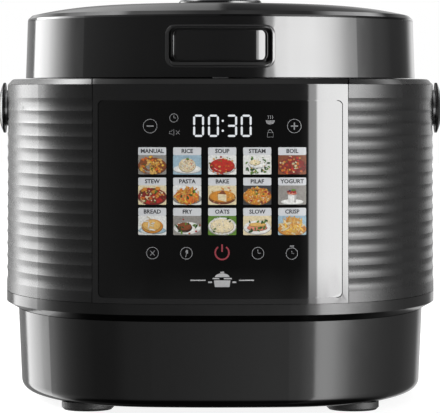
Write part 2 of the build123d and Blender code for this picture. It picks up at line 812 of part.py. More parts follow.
def lid_button():
    face = lid_front_slab(BUTTON_W / 2, BUTTON_Z, 3, -BUTTON_SINK, -BUTTON_SINK - BUTTON_T)
    stem = block((-5, 5), (front_y(LID_ARCS, 0, BUTTON_SINK + BUTTON_T - 0.5), STEM_TIP_Y), STEM_Z)
    return face + stem


def button_springs():
    """Two return springs behind the button, standing on the bezel's spring shelf."""
    wire = 0.4
    front = front_y(LID_ARCS, BUTTON_SPRING_X + 3, BUTTON_SINK + BUTTON_T) + 0.1
    back = front_y(LID_ARCS, BUTTON_SPRING_X, RECESS_DEPTH + 1.6)
    spring = coil(2.4, wire, 1.5, back - front - 2 * wire)
    placed = Pos(BUTTON_SPRING_X, back - wire, 234) * Rot(90, 0, 0) * spring
    return mirrored_x(placed)


# ---- Steam valve ----
def valve_base():
    """Socket in the lid's top with its outer ring, steam tube and float cage."""
    socket = turned(
        (STEAM_HOLE_R, FRAME_Z[1]), (7, FRAME_Z[1]), (7, VALVE_FLOOR_Z - 1.6), (22.6, VALVE_FLOOR_Z - 1.6),
        (22.6, 262), (VALVE_RING_R, 262), (VALVE_RING_R, VALVE_RING_Z - 1.2),
        (VALVE_RING_R - 1.2, VALVE_RING_Z), (VALVE_SOCKET_R + 1, VALVE_RING_Z),
        (VALVE_SOCKET_R, VALVE_RING_Z - 1), (VALVE_SOCKET_R, VALVE_FLOOR_Z), (STEAM_HOLE_R, VALVE_FLOOR_Z),
    )
    cage = ring(FLOAT_R + 0.6, FLOAT_R + 2, (VALVE_FLOOR_Z, 251))
    cage -= [Rot(0, 0, a) * block((-20, 20), (-2, 2), (243, 249)) for a in (0, 60, 120)]
    return Pos(0, VALVE_Y, 0) * (socket + cage)


def valve_seal():
    return Pos(0, VALVE_Y, 0) * ring(7.05, 10, (FRAME_Z[1], 217))


def valve_float():
    seat = VALVE_FLOOR_Z + sqrt(FLOAT_R ** 2 - STEAM_HOLE_R ** 2) + EDGE_GAP
    return Pos(0, VALVE_Y, seat) * Sphere(FLOAT_R)


def valve_cap():
    top = VALVE_CAP_Z
    cap = turned(
        (0, top - 2.6), (VALVE_CAP_R - 1.6, top - 2.6), (VALVE_CAP_R - 1.6, 250), (VALVE_CAP_R, 250),
        (VALVE_CAP_R, top - 1.6), (VALVE_CAP_R - 1.4, top), (9, top), (8, top - 0.8), (0, top - 0.8),
    )
    slots = [Rot(0, 0, a) * block((10.5, 16), (-1.2, 1.2), (top - 4, top + 1)) for a in range(0, 360, 45)]
    return Pos(0, VALVE_Y, 0) * (cap - slots)


# ---- Carry handle ----
HANDLE_X = HUB_X[0] + HANDLE_BAR[0] / 2
STOP_Y = 24.0
STOP_Z = HUB_Z - HANDLE_BAR[1] / 2 - EDGE_GAP - 2.6


def handle_pivots():
    """Headless pin through each side wall, with a washer outside and a nut inside."""
    pin = rod_x(HANDLE_PIN_R, (137.5, 149.4), 0, HUB_Z)
    washer = rod_x(12, (144.2, 145.7), 0, HUB_Z)
    nut = rod_x(7.5, (137.5, 140.7), 0, HUB_Z)
    return mirrored_x(pin + washer + nut)


def handle_stops():
    peg = rod_x(2.6, (139, 149.5), STOP_Y, STOP_Z)
    return mirrored_x(peg)


def carry_handle():
    """Folding bail: two hubs, side arms and a rear bar, bent from one flat strip."""
    bar_t, bar_h = HANDLE_BAR
    r = HANDLE_CORNER_R
    turn_y = HANDLE_BACK_Y - r
    flat_x = HANDLE_X - r
    outer = make_face([
        Line((0, HANDLE_BACK_Y + bar_t / 2), (flat_x, HANDLE_BACK_Y + bar_t / 2)),
        RadiusArc((flat_x, HANDLE_BACK_Y + bar_t / 2), (HANDLE_X + bar_t / 2, turn_y), r + bar_t / 2),
        Line((HANDLE_X + bar_t / 2, turn_y), (HANDLE_X + bar_t / 2, 0)),
        Line((HANDLE_X + bar_t / 2, 0), (HANDLE_X - bar_t / 2, 0)),
        Line((HANDLE_X - bar_t / 2, 0), (HANDLE_X - bar_t / 2, turn_y)),
        RadiusArc((HANDLE_X - bar_t / 2, turn_y), (flat_x, HANDLE_BACK_Y - bar_t / 2), -r + bar_t / 2),
        Line((flat_x, HANDLE_BACK_Y - bar_t / 2), (0, HANDLE_BACK_Y - bar_t / 2)),
        Line((0, HANDLE_BACK_Y - bar_t / 2), (0, HANDLE_BACK_Y + bar_t / 2)),
    ])
    half = extrude(Pos(0, 0, HUB_Z - bar_h / 2) * outer, amount=bar_h)
    half += rod_x(HUB_R, (HUB_X[0], HUB_X[0] + HUB_DISC_T), 0, HUB_Z)
    half += rod_x(HUB_BOSS_R, HUB_X, 0, HUB_Z)
    half -= rod_x(HANDLE_PIN_R + RUNNING_GAP, (130, 160), 0, HUB_Z)
    return half + mirror(half, Plane.YZ)


def handle_hub_caps():
    """Domed cover of each hub, notched where the side arm leaves it."""
    base_x = HUB_X[0] + HUB_DISC_T
    dome_r = (HUB_R ** 2 + HUB_DOME ** 2) / (2 * HUB_DOME)
    section = make_face([
        Line((0, 0), (HUB_R, 0)),
        RadiusArc((HUB_R, 0), (0, HUB_DOME), -dome_r),
        Line((0, HUB_DOME), (0, 0)),
    ])
    cap = Pos(base_x, 0, HUB_Z) * Rot(0, 90, 0) * revolve(Plane.XZ * section, Axis.Z)
    cap -= rod_x(HUB_BOSS_R, HUB_X, 0, HUB_Z)
    half_h = HANDLE_BAR[1] / 2
    cap -= block((HUB_X[0], HUB_X[1]), (0, HUB_R + 1), (HUB_Z - half_h, HUB_Z + half_h))
    return mirrored_x(cap)


def handle_grip():
    """Moulded sleeve round the middle of the rear bar."""
    bar_t, bar_h = HANDLE_BAR
    sleeve = Plane.YZ.offset(-52) * Pos(HANDLE_BACK_Y, HUB_Z) * RectangleRounded(*GRIP, 5)
    hole = block((-60, 60), (HANDLE_BACK_Y - bar_t / 2, HANDLE_BACK_Y + bar_t / 2),
                 (HUB_Z - bar_h / 2, HUB_Z + bar_h / 2))
    return extrude(sleeve, amount=104) - hole


# ---- Condensate cup ----
def condensate_cup():
    wall = 1.6
    outer = block((-CUP_HALF_W, CUP_HALF_W), CUP_Y, CUP_Z)
    outer = fillet(outer.edges().filter_by(Axis.Z).group_by(Axis.Y)[-1], 8)
    inner = block((-CUP_HALF_W + wall, CUP_HALF_W - wall), (CUP_Y[0] + wall, CUP_Y[1] - wall),
                  (CUP_Z[0] + wall, CUP_Z[1] + 1))
    inner = fillet(inner.edges().filter_by(Axis.Z).group_by(Axis.Y)[-1], 6.4)
    return outer - inner


def cup_rails():
    """Pair of rails on the rear wall that the cup slides out of."""
    side = CUP_HALF_W + 0.5
    low = CUP_Z[0] - 0.4
    rail = block((side, side + 2.2), (149.0, 166), (low - 2, CUP_Z[1] - 4))
    rail += block((side - 5, side + 2.2), (149.2, 166), (low - 2, low))
    rail -= swept([BODY_ARCS[4]], polygon((-20, 60), (0, 60), (0, 215), (-20, 215)))
    return mirrored_x(rail)


NODES = {
    "base_shell": base_shell,
    "feet": feet,
    "base_screws": base_screws,
    "lower_trim_ring": lower_trim_ring,
    "body_shell": body_shell,
    "front_panel_frame": front_panel_frame,
    "control_panel_glass": control_panel_glass,
    "touch_contacts": touch_contacts,
    "control_board": control_board,
    "display_module": display_module,
    "upper_rim_ring": upper_rim_ring,
    "inner_chamber": inner_chamber,
    "chamber_brackets": chamber_brackets,
    "heating_plate": heating_plate,
    "heating_element": heating_element,
    "heater_posts": heater_posts,
    "thermal_fuse": thermal_fuse,
    "sensor_guide": sensor_guide,
    "sensor_cap": sensor_cap,
    "sensor_spring": sensor_spring,
    "inner_pot": inner_pot,
    "power_board": power_board,
    "relay": relay,
    "transformer": transformer,
    "ribbon_cable": ribbon_cable,
    "mains_leads": mains_leads,
    "heater_leads": heater_leads,
    "power_inlet": power_inlet,
    "inlet_pins": inlet_blades,
    "hinge_housing": hinge_housing,
    "hinge_pin": hinge_pin,
    "hinge_spring": hinge_spring,
    "lid_hinge_bracket": lid_hinge_bracket,
    "latch_strike": latch_strike,
    "latch_hook": latch_hook,
    "latch_pin": latch_pin,
    "latch_spring": latch_spring,
    "lid_shell": lid_shell,
    "lid_screws": lid_screws,
    "lid_top_cover": lid_top_cover,
    "lid_inner_frame": lid_inner_frame,
    "lid_sensor": lid_sensor,
    "inner_lid_plate": inner_lid_plate,
    "plate_grommet": plate_grommet,
    "lid_seal_ring": lid_seal_ring,
    "button_bezel": button_bezel,
    "lid_button": lid_button,
    "button_springs": button_springs,
    "valve_base": valve_base,
    "valve_seal": valve_seal,
    "valve_float": valve_float,
    "valve_cap": valve_cap,
    "handle_pivots": handle_pivots,
    "handle_stops": handle_stops,
    "carry_handle": carry_handle,
    "handle_grip": handle_grip,
    "handle_hub_caps": handle_hub_caps,
    "condensate_cup": condensate_cup,
    "cup_rails": cup_rails,
}


def main():
    os.makedirs("parts", exist_ok=True)
    for name, make in NODES.items():
        shape = make()
        solids = shape if isinstance(shape, list) else [shape]
        solids = [solid for piece in solids for solid in piece.solids()]
        if name == "valve_base":
            solids = (Compound(children=solids) - lid_top_cover()).solids()
        whole = Pos(0, SHIFT_Y, 0) * Compound(children=solids)
        export_step(whole, f"parts/{name}.step")
        print(name, len(solids), round(sum(solid.volume for solid in solids)))


main()
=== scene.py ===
import json
import math
import random

import bmesh
import bpy
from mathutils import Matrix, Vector
from mathutils.bvhtree import BVHTree

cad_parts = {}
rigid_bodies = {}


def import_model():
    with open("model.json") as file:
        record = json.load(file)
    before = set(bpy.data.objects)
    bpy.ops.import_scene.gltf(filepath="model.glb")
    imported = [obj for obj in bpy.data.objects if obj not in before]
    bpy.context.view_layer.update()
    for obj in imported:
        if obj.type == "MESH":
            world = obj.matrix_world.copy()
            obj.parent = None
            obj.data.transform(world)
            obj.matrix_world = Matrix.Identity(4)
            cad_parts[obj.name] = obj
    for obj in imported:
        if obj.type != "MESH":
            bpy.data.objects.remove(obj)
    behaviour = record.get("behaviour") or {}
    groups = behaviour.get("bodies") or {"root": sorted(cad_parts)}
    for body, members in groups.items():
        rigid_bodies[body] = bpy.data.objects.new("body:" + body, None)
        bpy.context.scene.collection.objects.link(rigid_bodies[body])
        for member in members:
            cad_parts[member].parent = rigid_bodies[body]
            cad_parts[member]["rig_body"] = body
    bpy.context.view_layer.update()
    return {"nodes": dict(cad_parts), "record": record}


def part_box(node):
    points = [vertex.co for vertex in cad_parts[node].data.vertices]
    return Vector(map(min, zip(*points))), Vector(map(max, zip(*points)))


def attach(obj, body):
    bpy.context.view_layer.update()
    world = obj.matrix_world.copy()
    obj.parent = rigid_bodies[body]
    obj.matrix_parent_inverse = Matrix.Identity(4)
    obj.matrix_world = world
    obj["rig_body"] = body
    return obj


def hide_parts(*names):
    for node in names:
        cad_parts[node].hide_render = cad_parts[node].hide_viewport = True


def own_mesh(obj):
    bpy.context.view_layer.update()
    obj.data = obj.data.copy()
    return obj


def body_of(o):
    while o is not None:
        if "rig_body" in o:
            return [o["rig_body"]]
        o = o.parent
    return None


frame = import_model()
NODES = frame["nodes"]
MM = 0.001

# ---- Sizes worked out from the frame ----
POT_LOW, POT_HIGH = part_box("inner_pot")
AXIS_Y = (POT_LOW.y + POT_HIGH.y) / 2
MODULE_LOW, MODULE_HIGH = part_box("display_module")
GLASS_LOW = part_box("control_panel_glass")[0]


# ---- Camera ----
EYE_HEIGHT = 0.205
EYE_DISTANCE = 1.842
LENS_MM = 221.2
PITCH_DEG = 2.404
EYE_X = -0.0002


def make_camera():
    data = bpy.data.cameras.new("camera")
    data.sensor_width = 36.0
    data.lens = LENS_MM
    data.clip_start = 0.05
    data.clip_end = 50.0
    camera = bpy.data.objects.new("camera", data)
    camera.location = (EYE_X, AXIS_Y - EYE_DISTANCE, EYE_HEIGHT)
    camera.rotation_euler = (math.radians(90 - PITCH_DEG), 0, 0)
    bpy.context.scene.collection.objects.link(camera)
    bpy.context.scene.camera = camera


# ---- Studio: the light is a smooth function of direction, brighter where the softboxes stand ----
class Graph:
    """Short-hand for wiring shader nodes."""

    def __init__(self, tree):
        self.tree = tree

    def node(self, kind, **inputs):
        made = self.tree.nodes.new(kind)
        for key, value in inputs.items():
            if key.startswith("set_"):
                setattr(made, key[4:], value)
            else:
                self.feed(made.inputs[key.replace("_", " ")], value)
        return made

    def feed(self, socket, value):
        if isinstance(value, bpy.types.NodeSocket):
            self.tree.links.new(value, socket)
        else:
            socket.default_value = value

    def math(self, operation, a, b=None):
        made = self.tree.nodes.new("ShaderNodeMath")
        made.operation = operation
        self.feed(made.inputs[0], a)
        if b is not None:
            self.feed(made.inputs[1], b)
        return made.outputs[0]

    def curve(self, value, low, high, stops):
        """A brightness curve of value between low and high, through stops of position and level."""
        ramp = self.tree.nodes.new("ShaderNodeValToRGB")
        ramp.color_ramp.interpolation = "LINEAR"
        span = self.tree.nodes.new("ShaderNodeMapRange")
        self.feed(span.inputs["Value"], value)
        span.inputs["From Min"].default_value = low
        span.inputs["From Max"].default_value = high
        self.tree.links.new(span.outputs[0], ramp.inputs[0])
        elements = ramp.color_ramp.elements
        while len(elements) > 1:
            elements.remove(elements[-1])
        for index, (position, level) in enumerate(stops):
            place = (position - low) / (high - low)
            element = elements[0] if index == 0 else elements.new(place)
            element.position = place
            element.color = (level, level, level, 1)
        return ramp.outputs[0]


# Radiance of the studio round the pot, by angle in degrees from the camera's side: two softboxes
# stand on a pale table, and HIGH holds what lies above eye level, LOW what lies below it
PEAK = 20.0
HIGH_RIGHT = [
    (0, 0.11), (20, 0.13), (26.5, 0.3), (27.5, 6.0), (33, 6.8), (34.2, 17.5), (41, 18.5),
    (58, 18.7), (64, 17.0), (70, 15.2), (77, 11.3), (83, 7.4), (91, 3.76), (99, 1.37),
    (107, 0.66), (116, 0.40), (124, 0.19), (134, 0.14), (144, 0.18), (148, 0.3), (154, 0.96),
    (158, 1.3), (164, 1.3), (172, 0.8), (180, 0.15),
]
HIGH_LEFT = [
    (0, 0.11), (50, 0.2), (88, 0.36), (98, 0.7), (103, 1.1), (108, 2.0), (113, 3.3), (120, 5.0),
    (126, 6.2), (134, 6.0), (144, 5.1), (146, 0.5), (170, 0.5), (180, 0.15),
]
LOW_RIGHT = [
    (0, 0.55), (12, 0.72), (22, 0.92), (30, 1.36), (35, 1.44), (37, 5.8), (46, 5.8), (53, 5.2),
    (59, 3.9), (65, 2.9), (71, 1.86), (77, 1.36), (83, 1.02), (92, 0.73), (100, 0.56),
    (108, 0.42), (116, 0.32), (124, 0.23), (134, 0.18), (145, 0.18), (155, 0.2), (163, 0.77),
    (173, 0.62), (180, 0.5),
]
LOW_LEFT = [
    (0, 0.55), (11, 0.40), (34, 0.34), (47, 0.22), (65, 0.21), (83, 0.33), (92, 0.45),
    (100, 0.62), (108, 0.89), (116, 1.18), (124, 1.6), (134, 2.9), (145, 3.05), (149, 3.05),
    (152, 0.4), (180, 0.32),
]
# A third box stands high on the left, with a weaker return behind the pot
OVER_RIGHT = [(0, 0.15), (130, 0.15), (138, 2.6), (158, 2.6), (170, 0.15), (180, 0.05)]
OVER_LEFT = [
    (0, 0.15), (80, 0.2), (88, 1.5), (100, 6.4), (108, 10.5), (116, 12.5), (128, 12.5),
    (136, 2.5), (144, 1.2), (160, 0.5), (170, 0.15), (180, 0.05),
]
# Share of each set at each elevation in degrees; the box on the right is low, the left one tall
LOW_SHARE = [(-90, 0.02), (-44, 0.04), (-28, 0.9), (-4.2, 1.0), (-3.2, 0.0), (90, 0.0)]
HIGH_SHARE_RIGHT = [
    (-90, 0.0), (-4.2, 0.0), (-3.2, 1.0), (6, 1.0), (12, 0.3), (24, 0.12), (36, 0.02), (90, 0.0),
]
HIGH_SHARE_LEFT = [
    (-90, 0.0), (-4.2, 0.0), (-3.2, 1.0), (6, 1.0), (11, 1.9), (24, 1.9), (32, 0.1), (90, 0.0),
]
OVER_SHARE = [(-90, 0.0), (28, 0.0), (35, 1.0), (52, 1.0), (59, 0.05), (90, 0.05)]
NOTHING = [(0, 0.0), (180, 0.0)]
# Faint even light from above, and its share at each elevation
FILL = 0.45
FILL_SHARE = [(-90, 0.02), (0, 0.0), (30, 0.03), (50, 0.2), (65, 0.6), (90, 1.0)]


def radiance(g, degrees, right, left):
    """Level round the pot at a signed angle, from one curve for each side."""
    right, left = ([(angle, level / PEAK) for angle, level in side] for side in (right, left))
    turn = g.math("ABSOLUTE", degrees)
    is_right, is_left = (g.math(test, degrees, 0.0) for test in ("GREATER_THAN", "LESS_THAN"))
    on_right = g.math("MULTIPLY", is_right, g.curve(turn, 0, 180, right))
    on_left = g.math("MULTIPLY", is_left, g.curve(turn, 0, 180, left))
    return g.math("MULTIPLY", g.math("ADD", on_right, on_left), PEAK)


def make_world():
    world = bpy.data.worlds.new("studio")
    world.use_nodes = True
    bpy.context.scene.world = world
    tree = world.node_tree
    tree.nodes.clear()
    g = Graph(tree)
    direction = tree.nodes.new("ShaderNodeTexCoord").outputs["Generated"]
    split = g.node("ShaderNodeSeparateXYZ", Vector=direction)
    back = g.math("MULTIPLY", split.outputs["Y"], -1.0)
    degrees = g.math("MULTIPLY", g.math("ARCTAN2", split.outputs["X"], back), 180 / math.pi)
    elevation = g.math("MULTIPLY", g.math("ARCSINE", split.outputs["Z"]), 180 / math.pi)
    level = g.math("MULTIPLY", g.curve(elevation, -90, 90, FILL_SHARE), FILL)
    for right, left, share in (
        (HIGH_RIGHT, NOTHING, HIGH_SHARE_RIGHT),
        (NOTHING, HIGH_LEFT, HIGH_SHARE_LEFT),
        (LOW_RIGHT, LOW_LEFT, LOW_SHARE),
        (OVER_RIGHT, OVER_LEFT, OVER_SHARE),
    ):
        part = radiance(g, degrees, right, left)
        part = g.math("MULTIPLY", part, g.curve(elevation, -90, 90, share))
        level = g.math("ADD", level, part)
    lit = g.node("ShaderNodeBackground", Color=(1, 1, 1, 1), Strength=level)
    plain = g.node("ShaderNodeBackground", Color=(1, 1, 1, 1), Strength=1.0)
    seen = tree.nodes.new("ShaderNodeLightPath").outputs["Is Camera Ray"]
    mix = tree.nodes.new("ShaderNodeMixShader")
    tree.links.new(seen, mix.inputs[0])
    tree.links.new(lit.outputs[0], mix.inputs[1])
    tree.links.new(plain.outputs[0], mix.inputs[2])
    out = tree.nodes.new("ShaderNodeOutputWorld")
    tree.links.new(mix.outputs[0], out.inputs["Surface"])
    bpy.context.scene.view_settings.view_transform = "Standard"


# ---- Materials ----
GRAIN_DEPTH = 0.0001
WAVE_DEPTH = 0.0005


def new_material(name):
    material = bpy.data.materials.new(name)
    material.use_nodes = True
    shader = material.node_tree.nodes["Principled BSDF"]
    return material, Graph(material.node_tree), shader


def position(g):
    return g.tree.nodes.new("ShaderNodeTexCoord").outputs["Object"]


def noise(g, scale, detail=3.0, stretch=None):
    place = position(g)
    if stretch:
        mapping = g.node("ShaderNodeMapping", Vector=place)
        mapping.inputs["Scale"].default_value = stretch
        place = mapping.outputs[0]
    made = g.node("ShaderNodeTexNoise", Vector=place, Scale=scale, Detail=detail, Roughness=0.55)
    return made.outputs["Fac"]


def between(g, fac, low, high):
    """Spread the middle of a noise over a range of values."""
    span = g.node("ShaderNodeMapRange", Value=fac)
    span.inputs["From Min"].default_value = 0.3
    span.inputs["From Max"].default_value = 0.7
    span.inputs["To Min"].default_value = low
    span.inputs["To Max"].default_value = high
    return span.outputs[0]


def tint(g, fac, first, second):
    mix = g.tree.nodes.new("ShaderNodeMix")
    mix.data_type = "RGBA"
    colours = [socket for socket in mix.inputs if socket.type == "RGBA"]
    g.feed(mix.inputs[0], fac)
    for socket, colour in zip(colours, (first, second)):
        g.feed(socket, colour if isinstance(colour, bpy.types.NodeSocket) else (*colour, 1))
    return [socket for socket in mix.outputs if socket.type == "RGBA"][0]


def bump(g, height, strength, distance):
    made = g.node("ShaderNodeBump", Height=height, Strength=strength, Distance=distance)
    return made.outputs["Normal"]


def plastic(name, colour, roughness, spread=0.02, grain=0.0, grain_scale=1500, shine=0.5, wave=0.0):
    """Moulded plastic: faintly mottled colour, uneven polish, and a mould grain or a slow wave."""
    material, g, shader = new_material(name)
    mottled = tuple(c * 1.3 + 0.0004 for c in colour)
    g.feed(shader.inputs["Base Color"], tint(g, noise(g, 35), colour, mottled))
    polish = between(g, noise(g, 60), roughness - spread, roughness + spread)
    g.feed(shader.inputs["Roughness"], polish)
    shader.inputs["Specular IOR Level"].default_value = shine
    if grain:
        g.feed(shader.inputs["Normal"], bump(g, noise(g, grain_scale, 2), grain, GRAIN_DEPTH))
    elif wave:
        g.feed(shader.inputs["Normal"], bump(g, noise(g, 40, 1), wave, WAVE_DEPTH))
    return material


def metal(name, colour, roughness, stretch=(1, 1, 1), stain=None):
    """Bare metal with fine marks drawn out along the direction in which stretch is small."""
    material, g, shader = new_material(name)
    marks = noise(g, 400, 4, stretch)
    duller = tuple(c * 0.8 for c in colour)
    shade = tint(g, marks, duller, colour)
    if stain:
        shade = tint(g, between(g, noise(g, 30), 0.0, 0.8), shade, stain)
    g.feed(shader.inputs["Base Color"], shade)
    g.feed(shader.inputs["Roughness"], between(g, marks, roughness * 0.8, roughness * 1.3))
    g.feed(shader.inputs["Normal"], bump(g, marks, 0.1, GRAIN_DEPTH))
    shader.inputs["Metallic"].default_value = 1.0
    return material


def pot_coating():
    """Dark non-stick coating with fine pale flecks."""
    material, g, shader = new_material("pot_coating")
    flecks = g.math("GREATER_THAN", noise(g, 900, 1), 0.66)
    cloud = tint(g, noise(g, 25), (0.018, 0.018, 0.019), (0.030, 0.030, 0.032))
    g.feed(shader.inputs["Base Color"], tint(g, flecks, cloud, (0.22, 0.22, 0.23)))
    g.feed(shader.inputs["Roughness"], between(g, noise(g, 80), 0.30, 0.42))
    g.feed(shader.inputs["Normal"], bump(g, noise(g, 700, 2), 0.15, GRAIN_DEPTH))
    shader.inputs["Metallic"].default_value = 0.35
    return material


def silicone():
    material, g, shader = new_material("silicone")
    cloud = tint(g, noise(g, 50), (0.50, 0.50, 0.49), (0.60, 0.60, 0.58))
    g.feed(shader.inputs["Base Color"], cloud)
    g.feed(shader.inputs["Roughness"], between(g, noise(g, 300), 0.42, 0.58))
    shader.inputs["Subsurface Weight"].default_value = 0.3
    shader.inputs["Subsurface Radius"].default_value = (0.002, 0.002, 0.002)
    return material


def circuit_board():
    """Solder mask over faint copper tracks."""
    material, g, shader = new_material("board_green")
    place = position(g)
    cells = g.node("ShaderNodeTexVoronoi", Vector=place, Scale=260.0, set_distance="MANHATTAN")
    tracks = g.math("LESS_THAN", cells.outputs["Distance"], 0.34)
    mask = tint(g, tracks, (0.008, 0.070, 0.028), (0.016, 0.130, 0.050))
    g.feed(shader.inputs["Base Color"], mask)
    g.feed(shader.inputs["Normal"], bump(g, tracks, 0.3, GRAIN_DEPTH))
    g.feed(shader.inputs["Roughness"], between(g, noise(g, 200), 0.25, 0.35))
    return material


def smoked_cup():
    material, g, shader = new_material("cup_smoke")
    smoke = tint(g, noise(g, 30), (0.16, 0.17, 0.18), (0.21, 0.22, 0.23))
    g.feed(shader.inputs["Base Color"], smoke)
    g.feed(shader.inputs["Roughness"], between(g, noise(g, 90), 0.06, 0.12))
    shader.inputs["Transmission Weight"].default_value = 0.75
    shader.inputs["IOR"].default_value = 1.49
    return material


def collar_plastic():
    """Collar in two finishes: gloss over the front panel, satin elsewhere, with a seam between."""
    material, g, shader = new_material("collar")
    place = g.node("ShaderNodeSeparateXYZ", Vector=position(g))
    across = g.math("ABSOLUTE", place.outputs["X"])
    front = g.math("LESS_THAN", place.outputs["Y"], 0.0)
    gloss = g.math("MULTIPLY", g.math("LESS_THAN", across, FRAME_HALF), front)
    off_seam = g.math("ABSOLUTE", g.math("SUBTRACT", across, FRAME_HALF))
    seam = g.math("MULTIPLY", g.math("LESS_THAN", off_seam, SEAM_HALF), front)
    mottled = tint(g, noise(g, 35), LID_BLACK, (0.0034, 0.0034, 0.0035))
    g.feed(shader.inputs["Base Color"], tint(g, seam, mottled, (0.0002, 0.0002, 0.0002)))
    satin = between(g, noise(g, 60), 0.24, 0.28)
    polish = g.math("MULTIPLY", gloss, -0.16)
    g.feed(shader.inputs["Roughness"], g.math("ADD", satin, polish))
    dulled = g.math("MULTIPLY", seam, 0.5)
    g.feed(shader.inputs["Specular IOR Level"], g.math("SUBTRACT", 0.5, dulled))
    return material


LID_BLACK = (0.0022, 0.0022, 0.0023)
FRAME_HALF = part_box("front_panel_frame")[1].x
SEAM_HALF = 0.0004
SLOT_LOOKS = {
    "body_black": plastic("body_black", (0.0005, 0.0005, 0.0005), 0.12, wave=0.02),
    "lid_black": plastic("lid_black", LID_BLACK, 0.09, wave=0.02),
    "panel_black": plastic("panel_black", (0.0050, 0.0050, 0.0051), 0.06, wave=0.01),
    "panel_glass": plastic("panel_glass", (0.0001, 0.0001, 0.0001), 0.014, 0.004, wave=0.003),
    "button_black": plastic("button_black", (0.0040, 0.0040, 0.0041), 0.05),
    "bezel_black": plastic("bezel_black", (0.0140, 0.0140, 0.0142), 0.06),
    "handle_black": plastic("handle_black", (0.004, 0.004, 0.0042), 0.24, grain=0.25),
    "inner_plastic": plastic("inner_plastic", (0.012, 0.012, 0.013), 0.42, grain=0.35),
    "foot_rubber": plastic("foot_rubber", (0.010, 0.010, 0.010), 0.55, spread=0.06, grain=0.5),
    "silicone": silicone(),
    "steel": metal("steel", (0.60, 0.60, 0.61), 0.22, stretch=(0.08, 1, 1)),
    "aluminium": metal("aluminium", (0.78, 0.78, 0.79), 0.30, stretch=(1, 1, 0.1)),
    "pot_coating": pot_coating(),
    "element_steel": metal("element_steel", (0.36, 0.33, 0.31), 0.35, stain=(0.20, 0.13, 0.09)),
    "board_green": circuit_board(),
    "component_black": plastic("component_black", (0.012, 0.012, 0.013), 0.5, grain=0.3),
    "transformer_yellow": plastic("transformer_yellow", (0.62, 0.42, 0.05), 0.45, grain=0.2),
    "lead_grey": plastic("lead_grey", (0.25, 0.25, 0.26), 0.45, grain=0.2),
    "contact_brass": metal("contact_brass", (0.78, 0.58, 0.30), 0.25),
    "valve_black": plastic("valve_black", (0.004, 0.004, 0.0042), 0.20, grain=0.15),
    "float_steel": metal("float_steel", (0.62, 0.62, 0.63), 0.12),
    "cup_smoke": smoked_cup(),
}
# Nodes whose finish differs from the rest of their slot
NODE_LOOKS = {
    "body_shell": plastic(
        "ribbed_satin", (0.0025, 0.0025, 0.0026), 0.27, grain=0.02, grain_scale=2500, shine=0.46,
    ),
    "upper_rim_ring": collar_plastic(),
    "lower_trim_ring": plastic("trim_gloss", (0.0005, 0.0005, 0.0005), 0.12),
}


def paint_nodes():
    for part in frame["record"]["subparts"]:
        name = part["node"]
        slots = NODES[name].data.materials
        slots.clear()
        slots.append(NODE_LOOKS.get(name) or SLOT_LOOKS[part["material_slot"]])


# ---- Lid button, in millimetres: a lip round a recess, and a button with a raised rim in it ----
BEZEL_LOW, BEZEL_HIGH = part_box("button_bezel")
LID_TREE = BVHTree.FromObject(NODES["lid_shell"], bpy.context.evaluated_depsgraph_get())
RECESS_HALF = (BEZEL_HIGH.x - BEZEL_LOW.x) / 2 / MM
RECESS_LOW, RECESS_HIGH = BEZEL_LOW.z / MM, BEZEL_HIGH.z / MM
RECESS_CORNER = 6.0
BUTTON_HALF = 30.2
BUTTON_LOW, BUTTON_HIGH = RECESS_LOW + 4.1, RECESS_HIGH - 2.6
BUTTON_CORNER = 4.2
# The button's face is nearly flat across the middle and turns back near its two ends
FACE_RADIUS = 130.0
FACE_DEPTH = 1.75
END_START = 21.0
END_RADIUS = 30.0
# Inset at the sides, top and bottom, and height over the lid, round the lip and its recess
LIP = [
    (0.0, 0.0, 0.0, -0.3), (0.0, 0.0, 0.0, 0.08), (0.12, 0.06, 0.05, 0.2),
    (0.35, 0.15, 0.15, 0.28), (1.1, 0.4, 0.3, 0.42), (1.8, 0.7, 0.45, 0.52),
    (2.1, 0.85, 0.55, 0.42), (2.2, 1.0, 0.65, 0.1), (2.2, 2.0, 3.3, -1.3),
    (2.2, 2.1, 3.5, -7.6), (8.0, 8.0, 8.0, -7.6), (8.0, 8.0, 8.0, -9.0),
    (1.8, 1.8, 1.8, -9.0), (1.8, 1.8, 1.8, -0.3),
]
# Inset and height round the button's rim, then the insets of the rings on its face
RIM = [
    (0.0, -4.8), (0.0, -1.5), (0.1, -1.15), (0.3, -0.95), (0.55, -0.95), (0.75, -1.15),
    (0.85, -1.6),
]
FACE_INSETS = (0.95, 1.1, 1.4)
# Steps round each quarter corner of a ring, and from its middle to each end
CORNER_STEPS = 7
FLAT_STEPS = 24
SHARP_DEG = 32


def lid_front(x, z):
    """The lid's front surface carried across the opening for the button."""
    low, high = RECESS_LOW - 1.5, RECESS_HIGH + 1.2
    start, forward = BEZEL_LOW.y - 0.1, Vector((0, 1, 0))
    below, above = (
        LID_TREE.ray_cast(Vector((x * MM, start, edge * MM)), forward)[0].y for edge in (low, high)
    )
    return (below + (above - below) * (z - low) / (high - low)) / MM


def face_front(x, z):
    past = max(0.0, abs(x) - END_START)
    hollow = x ** 2 / (2 * FACE_RADIUS)
    return lid_front(0, z) + FACE_DEPTH + hollow + past ** 2 / (2 * END_RADIUS)


def rounded_ring(half, low, high, corner):
    """Rounded rectangle as two rows of places, one over the other, from left to right."""
    turns = [math.radians(90 * i / CORNER_STEPS) for i in range(CORNER_STEPS + 1)]
    flat = half - corner
    middle = [flat * i / FLAT_STEPS for i in range(1 - FLAT_STEPS, FLAT_STEPS)]
    across = [-flat - corner * math.cos(t) for t in turns] + middle
    across += [flat + corner * math.sin(t) for t in turns]
    rise = [corner * (1 - math.sin(t)) for t in turns] + [0] * len(middle)
    rise += [corner * (1 - math.cos(t)) for t in turns]
    top = [(x, high - r) for x, r in zip(across, rise)]
    bottom = [(x, low + r) for x, r in zip(across, rise)]
    return top + bottom[::-1]


